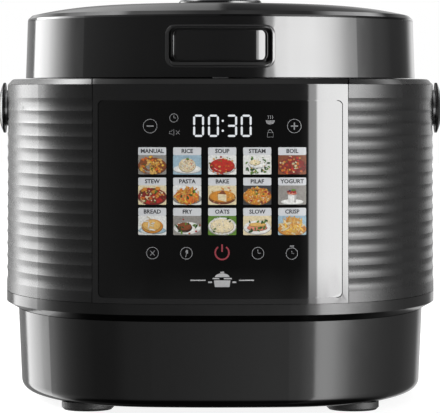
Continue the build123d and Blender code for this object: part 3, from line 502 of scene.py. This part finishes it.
def placed(ring, surface, height):
    return [(x * MM, (surface(x, z) - height) * MM, z * MM) for x, z in ring]


def loft(name, rings, material, capped):
    """Skin over rings of equal count; uncapped, the last ring meets the first one."""
    count = len(rings[0])
    verts = [point for ring in rings for point in ring]
    faces = []
    for i in range(len(rings) - 1 if capped else len(rings)):
        a, b = i * count, (i + 1) % len(rings) * count
        faces += [(a + j, a + (j + 1) % count, b + (j + 1) % count, b + j) for j in range(count)]
    if capped:
        for a in (0, (len(rings) - 1) * count):
            for j in range(count // 2 - 1):
                faces.append((a + j, a + j + 1, a + count - 2 - j, a + count - 1 - j))
    mesh = bpy.data.meshes.new(name)
    mesh.from_pydata(verts, [], faces)
    skin = bmesh.new()
    skin.from_mesh(mesh)
    bmesh.ops.recalc_face_normals(skin, faces=skin.faces)
    skin.to_mesh(mesh)
    skin.free()
    mesh.shade_smooth()
    mesh.set_sharp_from_angle(angle=math.radians(SHARP_DEG))
    mesh.materials.append(material)
    piece = bpy.data.objects.new(name, mesh)
    bpy.context.scene.collection.objects.link(piece)
    return piece


def button_ring(inset):
    low, high = BUTTON_LOW + inset, BUTTON_HIGH - inset
    return rounded_ring(BUTTON_HALF - inset, low, high, BUTTON_CORNER - inset)


def make_lid_button():
    lip = []
    for side, top, bottom, height in LIP:
        corner = max(1.5, RECESS_CORNER - (side + top) / 2)
        ring = rounded_ring(RECESS_HALF - side, RECESS_LOW + bottom, RECESS_HIGH - top, corner)
        lip.append(placed(ring, lid_front, height))
    bezel = loft("button_lip", lip, SLOT_LOOKS["bezel_black"], False)
    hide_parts("button_bezel")
    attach(bezel, body_of(NODES["button_bezel"])[0])
    rings = [placed(button_ring(inset), lid_front, height) for inset, height in RIM]
    rings += [placed(button_ring(inset), face_front, 0) for inset in FACE_INSETS]
    button = loft("button_face", rings, SLOT_LOOKS["button_black"], True)
    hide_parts("lid_button")
    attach(button, body_of(NODES["lid_button"])[0])


# ---- Prints on the control panel, drawn in millimetres across and up, as seen from the front ----
PRINT_LIFT = 0.05
LAYER_LIFT = 0.03
PRINT_THICKNESS = 0.02
PANEL_STRIPS = 12
PANEL_CORNER = 0.5
CAP_SHARE = 0.7
LETTER_WEIGHT = 0.11
GLASS = NODES["control_panel_glass"]
GLASS_TREE = BVHTree.FromObject(GLASS, bpy.context.evaluated_depsgraph_get())


def glass_y(x, z):
    """Height along Y of the glass's front face, in metres, at a place in millimetres."""
    start = Vector((x * MM, GLASS_LOW.y - 0.1, z * MM))
    return GLASS_TREE.ray_cast(start, Vector((0, 1, 0)))[0].y


class Print:
    """Flat shapes laid on the glass in thin layers, each face with a colour of its own."""

    def __init__(self):
        self.verts = []
        self.faces = []
        self.tints = []

    def add_points(self, points, layer):
        start = len(self.verts)
        lift = (PRINT_LIFT + layer * LAYER_LIFT) * MM
        self.verts += [(x * MM, glass_y(x, z) - lift, z * MM) for x, z in points]
        return start

    def shape(self, points, colour, layer=0):
        """One filled outline, turned so that it faces the front."""
        area = sum(a[0] * b[1] - b[0] * a[1] for a, b in zip(points, points[1:] + points[:1]))
        if area < 0:
            points = points[::-1]
        start = self.add_points(points, layer)
        self.faces.append(list(range(start, start + len(points))))
        self.tints.append(colour)

    def panel(self, x, z, width, height, colour):
        """Rounded rectangle in narrow upright strips, so that it follows the glass's curve."""
        count, corner = PANEL_STRIPS, PANEL_CORNER
        low, high = [], []
        for i in range(count + 1):
            across = -math.cos(math.pi * i / count) * width / 2
            inset = max(0.0, abs(across) - (width / 2 - corner))
            drop = corner - math.sqrt(max(0.0, corner ** 2 - inset ** 2))
            low.append((x + across, z - height / 2 + drop))
            high.append((x + across, z + height / 2 - drop))
        start = self.add_points(low + high, 0)
        for i in range(count):
            above = start + count + 1 + i
            self.faces.append([start + i, start + i + 1, above + 1, above])
            self.tints.append(colour)

    def ribbon(self, points, width, colour, layer=0, closed=False):
        """Line of even width along points."""
        count = len(points)
        left, right = [], []
        for i, (x, z) in enumerate(points):
            before = points[i - 1] if closed or i else points[0]
            after = points[(i + 1) % count] if closed or i < count - 1 else points[-1]
            dx, dz = after[0] - before[0], after[1] - before[1]
            length = math.hypot(dx, dz)
            nx, nz = -dz / length * width / 2, dx / length * width / 2
            left.append((x + nx, z + nz))
            right.append((x - nx, z - nz))
        start = self.add_points(left + right, layer)
        for i in range(count if closed else count - 1):
            j = (i + 1) % count
            self.faces.append([start + i, start + count + i, start + count + j, start + j])
            self.tints.append(colour)

    def lettering(self, words, x, z, height, colour, layer):
        """A word in the built-in typeface, centred on a place."""
        curve = bpy.data.curves.new("word", "FONT")
        curve.body = words
        curve.align_x = "CENTER"
        curve.align_y = "CENTER"
        curve.size = height / CAP_SHARE
        curve.offset = LETTER_WEIGHT
        curve.resolution_u = 2
        carrier = bpy.data.objects.new("word", curve)
        mesh = bpy.data.meshes.new_from_object(carrier)
        start = self.add_points([(x + v.co.x, z + v.co.y) for v in mesh.vertices], layer)
        for polygon in mesh.polygons:
            self.faces.append([start + v for v in polygon.vertices])
            self.tints.append(colour)
        bpy.data.meshes.remove(mesh)
        bpy.data.objects.remove(carrier)
        bpy.data.curves.remove(curve)

    def build(self, name, material):
        mesh = bpy.data.meshes.new(name)
        mesh.from_pydata(self.verts, [], self.faces)
        paint = mesh.color_attributes.new(name="Paint", type="FLOAT_COLOR", domain="CORNER")
        for polygon, colour in zip(mesh.polygons, self.tints):
            for corner in polygon.loop_indices:
                paint.data[corner].color = (*colour, 1)
        mesh.materials.append(material)
        piece = bpy.data.objects.new(name, mesh)
        bpy.context.scene.collection.objects.link(piece)
        solid = piece.modifiers.new("thickness", "SOLIDIFY")
        solid.thickness = PRINT_THICKNESS * MM
        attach(piece, "root")
        return piece


def arc(x, z, radius_x, radius_z, start=0.0, end=360.0, steps=24):
    """Points along part of an ellipse; a full turn leaves out its last point."""
    whole = end - start >= 360
    count = steps if whole else steps + 1
    angles = [math.radians(start + (end - start) * i / steps) for i in range(count)]
    return [(x + radius_x * math.cos(a), z + radius_z * math.sin(a)) for a in angles]


def rectangle(x, z, width, height):
    return [
        (x - width / 2, z - height / 2), (x + width / 2, z - height / 2),
        (x + width / 2, z + height / 2), (x - width / 2, z + height / 2),
    ]


def linear(red, green, blue):
    """Screen colour, 0 to 255, as linear light."""
    return tuple((c / 255) ** 2.2 for c in (red, green, blue))


# ---- Cooking programmes: a word and a small picture of the dish on each tile ----
TILE_PITCH = (21.95, 19.0)
TILE_MID = (1.2, 143.5)
TILE_SIZE = (17.6, 17.0)
STRIP_HEIGHT = 4.9
PICTURE_HALF = (TILE_SIZE[0] / 2, (TILE_SIZE[1] - STRIP_HEIGHT) / 2)
WORD_HEIGHT = 2.5
STRIP_GREY = linear(196, 198, 201)
WORD_GREY = linear(40, 40, 44)

WHITE = linear(240, 240, 236)
CREAM = linear(236, 219, 178)
POTATO = linear(226, 178, 96)
YELLOW = linear(240, 190, 66)
GOLD = linear(214, 140, 44)
ORANGE = linear(222, 110, 36)
RED = linear(186, 38, 24)
DARK_RED = linear(128, 26, 18)
PINK = linear(226, 140, 112)
BROWN = linear(132, 70, 34)
DARK_BROWN = linear(64, 32, 18)
GREEN = linear(96, 136, 44)
DARK_GREEN = linear(42, 82, 28)
BERRY = linear(58, 44, 96)
SLATE = linear(58, 58, 60)
STONE = linear(150, 146, 140)
SKY = linear(160, 190, 206)

# Word, background, and then what lies in the picture from the bottom layer up. A pool is one
# ellipse (half width, half height, shift right and up), a cup has its half width and height, a
# wedge half of each, and the rest are scattered pieces with a count and a size.
DISHES = [
    [
        ("MANUAL", STONE, [
            ("pool", (8.8, 5.2, 0, -0.6), [BROWN]),
            ("chunk", 60, 2.0, [POTATO, GOLD, ORANGE, YELLOW, BROWN]),
            ("leaf", 9, 1.1, [GREEN, DARK_GREEN]),
        ]),
        ("RICE", SKY, [
            ("pool", (8.6, 2.6, 0, -2.6), [WHITE]),
            ("pool", (5.2, 4.2, 0, -0.2), [CREAM]),
            ("mound", 110, 0.9, [WHITE, CREAM, PINK, CREAM]),
            ("pool", (0.9, 0.6, 0.3, 3.8), [GREEN]),
        ]),
        ("SOUP", WHITE, [
            ("pool", (8.6, 5.2, 0, -0.4), [WHITE]),
            ("pool", (7.6, 4.3, 0, -0.4), [RED]),
            ("chunk", 30, 1.4, [ORANGE, DARK_RED, POTATO, RED]),
            ("leaf", 7, 1.1, [GREEN]),
        ]),
        ("STEAM", WHITE, [
            ("leaf", 40, 2.2, [GREEN, DARK_GREEN]),
            ("pool", (5.6, 2.7, 0, 0.8), [WHITE]),
            ("pool", (3.4, 1.6, -1.4, 1.6), [CREAM]),
            ("grain", 26, 0.9, [GREEN, YELLOW, WHITE]),
        ]),
        ("BOIL", BROWN, [
            ("pool", (8.6, 5.0, 0, -0.8), [DARK_RED]),
            ("chunk", 60, 1.6, [RED, DARK_RED, GOLD, CREAM, ORANGE]),
            ("leaf", 8, 1.0, [GREEN, DARK_GREEN]),
        ]),
    ],
    [
        ("STEW", CREAM, [
            ("pool", (8.8, 5.2, 0, -0.8), [DARK_RED]),
            ("chunk", 34, 2.8, [RED, DARK_RED, ORANGE, GOLD]),
            ("chunk", 26, 1.2, [CREAM, POTATO, BROWN]),
            ("leaf", 9, 1.4, [GREEN, DARK_GREEN]),
        ]),
        ("PASTA", WHITE, [
            ("pool", (8.8, 3.4, 0, -2.0), [STONE]),
            ("pool", (7.2, 4.2, 0, -1.0), [ORANGE]),
            ("stick", 90, 3.2, [ORANGE, YELLOW, GOLD, POTATO]),
            ("leaf", 5, 2.2, [DARK_GREEN, GREEN]),
        ]),
        ("BAKE", CREAM, [
            ("pool", (8.2, 3.9, 0, -1.4), [BROWN]),
            ("pool", (8.0, 3.5, 0, -0.6), [GOLD]),
            ("chunk", 26, 1.2, [POTATO, PINK, GOLD]),
            ("wedge", (2.6, 3.6), [CREAM, BROWN]),
        ]),
        ("PILAF", SLATE, [
            ("pool", (8.6, 5.2, 0, -0.6), [GOLD]),
            ("grain", 150, 1.2, [YELLOW, CREAM, GOLD, ORANGE]),
            ("chunk", 12, 1.6, [BROWN, RED, ORANGE]),
            ("leaf", 5, 1.3, [GREEN]),
        ]),
        ("YOGURT", STONE, [
            ("pool", (7.0, 1.6, 0, -4.2), [WHITE]),
            ("cup", (2.9, 6.6), [WHITE]),
            ("pool", (2.9, 0.9, 0, 1.2), [PINK]),
            ("heap", 12, 1.5, [RED, DARK_RED, BERRY]),
            ("pool", (1.3, 0.6, 0.8, 3.2), [GREEN]),
        ]),
    ],
    [
        ("BREAD", WHITE, [
            ("pool", (8.4, 2.2, 0, -3.0), [SKY]),
            ("pool", (6.6, 4.3, 0, -0.4), [GOLD]),
            ("pool", (5.6, 3.4, -0.4, 0.2), [POTATO]),
            ("stick", 9, 3.4, [CREAM, WHITE]),
        ]),
        ("FRY", STONE, [
            ("pool", (8.4, 3.8, 0, -1.6), [WHITE]),
            ("pool", (4.6, 3.0, -1.6, -1.0), [DARK_BROWN]),
            ("pool", (4.2, 2.4, -1.6, -0.5), [BROWN]),
            ("leaf", 12, 2.0, [GREEN, DARK_GREEN]),
            ("chunk", 5, 1.3, [RED, ORANGE]),
        ]),
        ("OATS", GREEN, [
            ("pool", (8.6, 5.4, 0, -0.4), [WHITE]),
            ("pool", (7.2, 4.3, 0, -0.2), [CREAM]),
            ("grain", 60, 1.0, [WHITE, CREAM]),
            ("leaf", 5, 1.8, [GREEN, DARK_GREEN]),
        ]),
        ("SLOW", CREAM, [
            ("pool", (8.4, 4.2, 0, -1.2), [WHITE]),
            ("pool", (6.2, 2.0, 0, -1.2), [PINK]),
            ("pool", (5.4, 1.2, 0.2, 0.6), [POTATO]),
            ("leaf", 12, 2.2, [GREEN, DARK_GREEN]),
        ]),
        ("CRISP", SKY, [
            ("pool", (8.8, 4.2, 0, -2.2), [GOLD]),
            ("stick", 90, 5.0, [YELLOW, GOLD, POTATO, CREAM]),
        ]),
    ],
]
# Part of the picture that each kind of piece is scattered over: half width, half height, rise
SPREAD = {"mound": (4.6, 3.6, 0.0), "heap": (2.6, 0.9, 2.2)}


def piece_outline(kind, x, z, size, draw):
    """Outline of one scattered piece of food."""
    turn = draw.uniform(0, 360)
    if kind in ("chunk", "heap"):
        radii = [size / 2 * draw.uniform(0.7, 1.15) for _ in range(7)]
        steps = [math.radians(turn + 360 * i / 7) for i in range(7)]
        return [(x + r * math.cos(a), z + 0.8 * r * math.sin(a)) for r, a in zip(radii, steps)]
    narrow = {"grain": 0.42, "mound": 0.5, "leaf": 0.5, "stick": 0.2}[kind]
    c, s = math.cos(math.radians(turn)), math.sin(math.radians(turn))
    outline = arc(0, 0, size / 2, size * narrow / 2, steps=8)
    return [(x + u * c - v * s, z + u * s + v * c) for u, v in outline]


def kept_inside(points, x, z):
    """Outline flattened against the picture's edges where it would cross them."""
    half_w, half_h = PICTURE_HALF
    return [
        (min(max(px, x - half_w), x + half_w), min(max(pz, z - half_h), z + half_h))
        for px, pz in points
    ]


def shaded(colour, share):
    return tuple(min(1.0, c * share) for c in colour)


def draw_pool(target, x, z, size, colour, level):
    """Ellipse with a shadow under it and a lighter upper part."""
    w, h, dx, dz = size
    parts = ((1.04, -0.35, 0.4, 0), (1.0, 0.0, 1.0, 0.4), (0.8, 0.12 * h, 1.12, 0.8))
    for grow, drop, share, lift in parts:
        outline = arc(x + dx, z + dz + drop, w * grow, h * grow, steps=28)
        target.shape(kept_inside(outline, x, z), shaded(colour, share), level + lift)


def draw_wedge(target, x, z, size, colours, level):
    """Slice of cake: pale crumb under a browned top."""
    w, h = size
    left, right = (x - w, z + h * 0.5), (x + w, z + h * 0.4)
    target.shape([(x - w, z - h * 0.5), (x + w, z - h * 0.9), right, left], colours[0], level)
    target.shape([left, right, (x + w * 0.2, z + h * 1.15)], colours[1], level + 0.5)


def draw_cup(target, x, z, size, colour, level):
    """Straight glass, a little wider at its rim, lit from the left."""
    w, h = size
    foot, rim = z - h * 0.72, z + h * 0.28
    for left, right, share in ((-1.0, -0.4, 0.9), (-0.4, 0.5, 1.05), (0.5, 1.0, 0.6)):
        quad = [(x + left * w * 0.8, foot), (x + right * w * 0.8, foot)]
        quad += [(x + right * w, rim), (x + left * w, rim)]
        target.shape(kept_inside(quad, x, z), shaded(colour, share), level)


def scatter(target, x, z, kind, count, size, colours, level, draw):
    """Pieces strewn over the picture, each with its own shadow."""
    whole = (PICTURE_HALF[0] - size * 0.35, PICTURE_HALF[1] - size * 0.3, -0.3)
    wide, high, rise = SPREAD.get(kind, whole)
    for i in range(count):
        reach, angle = math.sqrt(draw.random()), draw.uniform(0, 2 * math.pi)
        px, pz = x + reach * wide * math.cos(angle), z + rise + reach * high * math.sin(angle)
        colour = shaded(draw.choice(colours), draw.uniform(0.75, 1.15))
        outline = piece_outline(kind, px, pz, size * draw.uniform(0.8, 1.2), draw)
        under = [(u + 0.12, v - 0.18) for u, v in outline]
        height = level + 2 * i / count
        target.shape(kept_inside(under, x, z), shaded(colour, 0.4), height)
        target.shape(kept_inside(outline, x, z), colour, height + 0.3)


def draw_dish(target, x, z, background, layers, draw):
    half_w, half_h = PICTURE_HALF
    target.panel(x, z, 2 * half_w, 2 * half_h, background)
    level = 1
    for kind, *facts in layers:
        if kind == "pool":
            draw_pool(target, x, z, facts[0], facts[1][0], level)
            level += 1.2
        elif kind == "wedge":
            draw_wedge(target, x, z - 1.0, facts[0], facts[1], level)
            level += 1
        elif kind == "cup":
            draw_cup(target, x, z, facts[0], facts[1][0], level)
            level += 0.5
        else:
            scatter(target, x, z, kind, *facts, level, draw)
            level += 2.6


def make_tiles():
    pictures = Print()
    words = Print()
    for row, dishes in enumerate(DISHES):
        for column, (word, background, layers) in enumerate(dishes):
            x = TILE_MID[0] + (column - 2) * TILE_PITCH[0]
            z = TILE_MID[1] - (row - 1) * TILE_PITCH[1]
            strip_z = z + (TILE_SIZE[1] - STRIP_HEIGHT) / 2
            words.panel(x, strip_z, TILE_SIZE[0], STRIP_HEIGHT, STRIP_GREY)
            words.lettering(word, x, strip_z, WORD_HEIGHT, WORD_GREY, 1)
            draw = random.Random(100 * row + column)
            draw_dish(pictures, x, z - STRIP_HEIGHT / 2, background, layers, draw)
    pictures.build("food_pictures", printed("food_print", 0.56, 0.2))
    words.build("tile_words", printed("word_print", 0.74, 0.03))


# ---- Signs, digits and emblem ----
SIGN_GREY = (0.16, 0.16, 0.165)
LINE_W = 0.38
THIN_W = LINE_W * 0.8
BAR_W = 0.75
SIGN_Z = 184.3
KEY_Z = 104.6
MINUS_X, PLUS_X = -44.0, 46.4
CANCEL_X, HEAT_X, POWER_X, CLOCK_X, TIMER_X = -42.6, -21.3, 1.1, 23.6, 44.9
STEP_RADIUS, KEY_RADIUS, POWER_RADIUS = 4.3, 3.7, 4.3
DIGIT_SIZE = (6.8, 13.9)
DIGIT_STROKE = 1.25
DIGIT_GAP = 0.28
DIGIT_CENTRES = (-13.6, -4.3, 7.1, 16.2)
COLON_X = 1.55
COLON_RISE = 3.1
COLON_RADIUS = 0.72
SEGMENTS_OF = {"0": "abcdef", "3": "abcdg"}


def segment(cx, cz, name):
    """Outline of one bar of a seven-bar digit."""
    half_w = (DIGIT_SIZE[0] - DIGIT_STROKE) / 2
    half_h = (DIGIT_SIZE[1] - DIGIT_STROKE) / 2
    t = DIGIT_STROKE / 2
    if name in "agd":
        z = cz + {"a": half_h, "g": 0, "d": -half_h}[name]
        low, high = cx - half_w + DIGIT_GAP, cx + half_w - DIGIT_GAP
        ends = [(low, z), (low + t, z - t), (high - t, z - t), (high, z)]
        return ends + [(high - t, z + t), (low + t, z + t)]
    x = cx + (half_w if name in "bc" else -half_w)
    low = cz + DIGIT_GAP if name in "bf" else cz - half_h + DIGIT_GAP
    high = low + half_h - 2 * DIGIT_GAP
    ends = [(x, low), (x + t, low + t), (x + t, high - t), (x, high)]
    return ends + [(x - t, high - t), (x - t, low + t)]


def make_digits():
    digits = Print()
    middle_z = (MODULE_LOW.z + MODULE_HIGH.z) / 2 / MM
    white = (1, 1, 1)
    for centre, value in zip(DIGIT_CENTRES, "0030"):
        for name in SEGMENTS_OF[value]:
            digits.shape(segment(centre, middle_z, name), white)
    for dz in (-COLON_RISE, COLON_RISE):
        digits.shape(arc(COLON_X, middle_z + dz, COLON_RADIUS, COLON_RADIUS), white)
    digits.build("time_digits", glowing("digit_light", (0.93, 0.96, 1.0), 0.82))


def ringed(target, x, z, radius, steps=36):
    target.ribbon(arc(x, z, radius, radius, steps=steps), LINE_W, SIGN_GREY, closed=True)


def clock(target, x, z, radius, hand=0.62):
    ringed(target, x, z, radius, 32)
    hands = [(x, z + radius * hand), (x, z), (x + radius * hand * 0.8, z)]
    target.ribbon(hands, LINE_W, SIGN_GREY)


def cross(target, x, z, half, width):
    """Two lines that cross, the second one laid over the first."""
    target.ribbon([(x - half, z - half), (x + half, z + half)], width, SIGN_GREY)
    target.ribbon([(x - half, z + half), (x + half, z - half)], width, SIGN_GREY, 0.4)


def make_signs():
    signs = Print()
    make_step_signs(signs)
    clock(signs, -29.1, 189.4, 2.6)
    make_mute_sign(signs, -28.6, 180.3)
    make_bowl_sign(signs, 31.3, 188.2)
    make_lock_sign(signs, 31.3, 179.6)
    make_key_signs(signs)
    signs.build("panel_signs", printed("sign_print", 1.0, 0.03))
    power = Print()
    ring = arc(POWER_X, KEY_Z + 0.4, POWER_RADIUS, POWER_RADIUS, 125, 415, 36)
    power.ribbon(ring, 1.0, (1, 1, 1))
    power.ribbon([(POWER_X, KEY_Z + 0.9), (POWER_X, KEY_Z + 5.6)], 1.0, (1, 1, 1))
    power.build("power_sign", glowing("power_light", (0.55, 0.004, 0.035), 0.42))


def make_step_signs(target):
    """Ringed minus on the left of the display and ringed plus on its right."""
    for x in (MINUS_X, PLUS_X):
        ringed(target, x, SIGN_Z, STEP_RADIUS)
        target.shape(rectangle(x, SIGN_Z, 4.4, BAR_W), SIGN_GREY)
    for side in (-1, 1):
        target.shape(rectangle(PLUS_X, SIGN_Z + side * 1.29, BAR_W, 1.82), SIGN_GREY)


def make_key_signs(target):
    """Lower row: cancel, temperature, clock and timer; the power sign lights up on its own."""
    ringed(target, CANCEL_X, KEY_Z, KEY_RADIUS)
    cross(target, CANCEL_X, KEY_Z, 1.5, LINE_W)
    ringed(target, HEAT_X, KEY_Z, KEY_RADIUS)
    target.shape(arc(HEAT_X + 0.3, KEY_Z + 0.9, 0.85, 1.25, steps=14), SIGN_GREY)
    stem = [(HEAT_X + 0.1, KEY_Z - 0.4), (HEAT_X - 0.5, KEY_Z - 2.5)]
    target.ribbon(stem, LINE_W, SIGN_GREY, 0.4)
    clock(target, CLOCK_X, KEY_Z, KEY_RADIUS)
    clock(target, TIMER_X, KEY_Z - 0.3, KEY_RADIUS - 0.1, 0.45)
    target.shape(rectangle(TIMER_X, KEY_Z + 4.4, 2.6, 0.7), SIGN_GREY)


def make_mute_sign(target, x, z):
    cone = [(x - 3.2, z - 0.8), (x - 2.0, z - 0.8), (x - 0.5, z - 2.1)]
    cone += [(x - 0.5, z + 2.1), (x - 2.0, z + 0.8), (x - 3.2, z + 0.8)]
    target.ribbon(cone, THIN_W, SIGN_GREY, closed=True)
    cross(target, x + 2.0, z, 1.2, THIN_W)


def make_bowl_sign(target, x, z):
    target.shape(arc(x, z - 0.3, 2.9, 2.6, 180, 360, 16), SIGN_GREY)
    for dx in (-1.3, 0, 1.3):
        rise = [i / 4 for i in range(5)]
        wisp = [(x + dx + 0.25 * math.sin(4 * t), z + 0.6 + 2.2 * t) for t in rise]
        target.ribbon(wisp, 0.4, SIGN_GREY)


def make_lock_sign(target, x, z):
    target.ribbon(rectangle(x, z - 0.8, 3.6, 2.8), THIN_W, SIGN_GREY, closed=True)
    target.ribbon(arc(x, z + 0.6, 1.25, 1.9, 0, 180, 14), THIN_W, SIGN_GREY, 0.4)


def make_emblem():
    """A plain cooking pot between two lines."""
    emblem = Print()
    silver = (0.40, 0.40, 0.405)
    x, z = 1.2, 87.0
    bowl = [(x - 5.2, z + 0.6), (x - 4.6, z - 3.6), (x + 4.6, z - 3.6), (x + 5.2, z + 0.6)]
    emblem.shape(bowl, silver)
    emblem.shape(rectangle(x, z + 1.7, 12.0, 0.9), silver)
    emblem.shape(arc(x, z + 2.6, 4.6, 2.4, 0, 180, 20), silver)
    emblem.shape(rectangle(x, z + 5.6, 2.4, 0.9), silver)
    for side in (-1, 1):
        emblem.shape(rectangle(x + side * 7.6, z - 0.6, 2.4, 1.0), silver)
        emblem.shape(rectangle(x + side * 15.2, z + 0.6, 9.6, 0.7), silver)
    emblem.build("pot_emblem", printed("silver_print", 1.0, 0.05, metallic=0.4))


def under_gloss(shader):
    shader.inputs["Coat Weight"].default_value = 1.0
    shader.inputs["Coat Roughness"].default_value = 0.03


def printed(name, level, variation, metallic=0.0):
    """Ink seen through the glass: painted colours with fine unevenness, under a clear gloss."""
    material, g, shader = new_material(name)
    paint = g.node("ShaderNodeAttribute", set_attribute_name="Paint").outputs["Color"]
    shift = between(g, noise(g, 900, 3), level * (1 - variation), level * (1 + variation))
    colour = g.node("ShaderNodeVectorMath", set_operation="SCALE")
    g.feed(colour.inputs[0], paint)
    g.feed(colour.inputs["Scale"], shift)
    g.feed(shader.inputs["Base Color"], colour.outputs[0])
    g.feed(shader.inputs["Roughness"], between(g, noise(g, 400), 0.28, 0.36))
    shader.inputs["Metallic"].default_value = metallic
    under_gloss(shader)
    return material


def glowing(name, colour, strength):
    """Backlit mark: its light is a little uneven, as through a diffuser."""
    material, g, shader = new_material(name)
    dimmer = tuple(c * 0.92 for c in colour)
    g.feed(shader.inputs["Emission Color"], tint(g, noise(g, 300), dimmer, colour))
    shader.inputs["Emission Strength"].default_value = strength
    unlit = tint(g, noise(g, 300), (0.02, 0.02, 0.02), (0.03, 0.03, 0.03))
    g.feed(shader.inputs["Base Color"], unlit)
    g.feed(shader.inputs["Roughness"], between(g, noise(g, 400), 0.2, 0.3))
    under_gloss(shader)
    return material


def squash_springs():
    """Gives each coil its own copy of its mesh."""
    for name, joint, axis, travel in (
        ("button_springs", "lid_button_press", (0, 1, 0), 0.0025),
        ("sensor_spring", "pot_sensor_press", (0, 0, 1), 0.002),
    ):
        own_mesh(NODES[name])


def make_floor():
    bpy.ops.mesh.primitive_plane_add(size=12.0, location=(0, 0, -0.0001))
    floor = bpy.context.object
    floor.name = "floor"
    material, g, shader = new_material("pale_floor")
    pale = tint(g, noise(g, 3), (0.30, 0.30, 0.30), (0.32, 0.32, 0.32))
    g.feed(shader.inputs["Base Color"], pale)
    shader.inputs["Roughness"].default_value = 0.9
    shader.inputs["Specular IOR Level"].default_value = 0.1
    shader.inputs["Emission Color"].default_value = (1, 1, 1, 1)
    shader.inputs["Emission Strength"].default_value = 0.88
    floor.data.materials.append(material)
    floor.visible_glossy = False


make_camera()
make_world()
make_floor()
paint_nodes()
make_lid_button()
make_tiles()
make_digits()
make_signs()
make_emblem()
squash_springs()
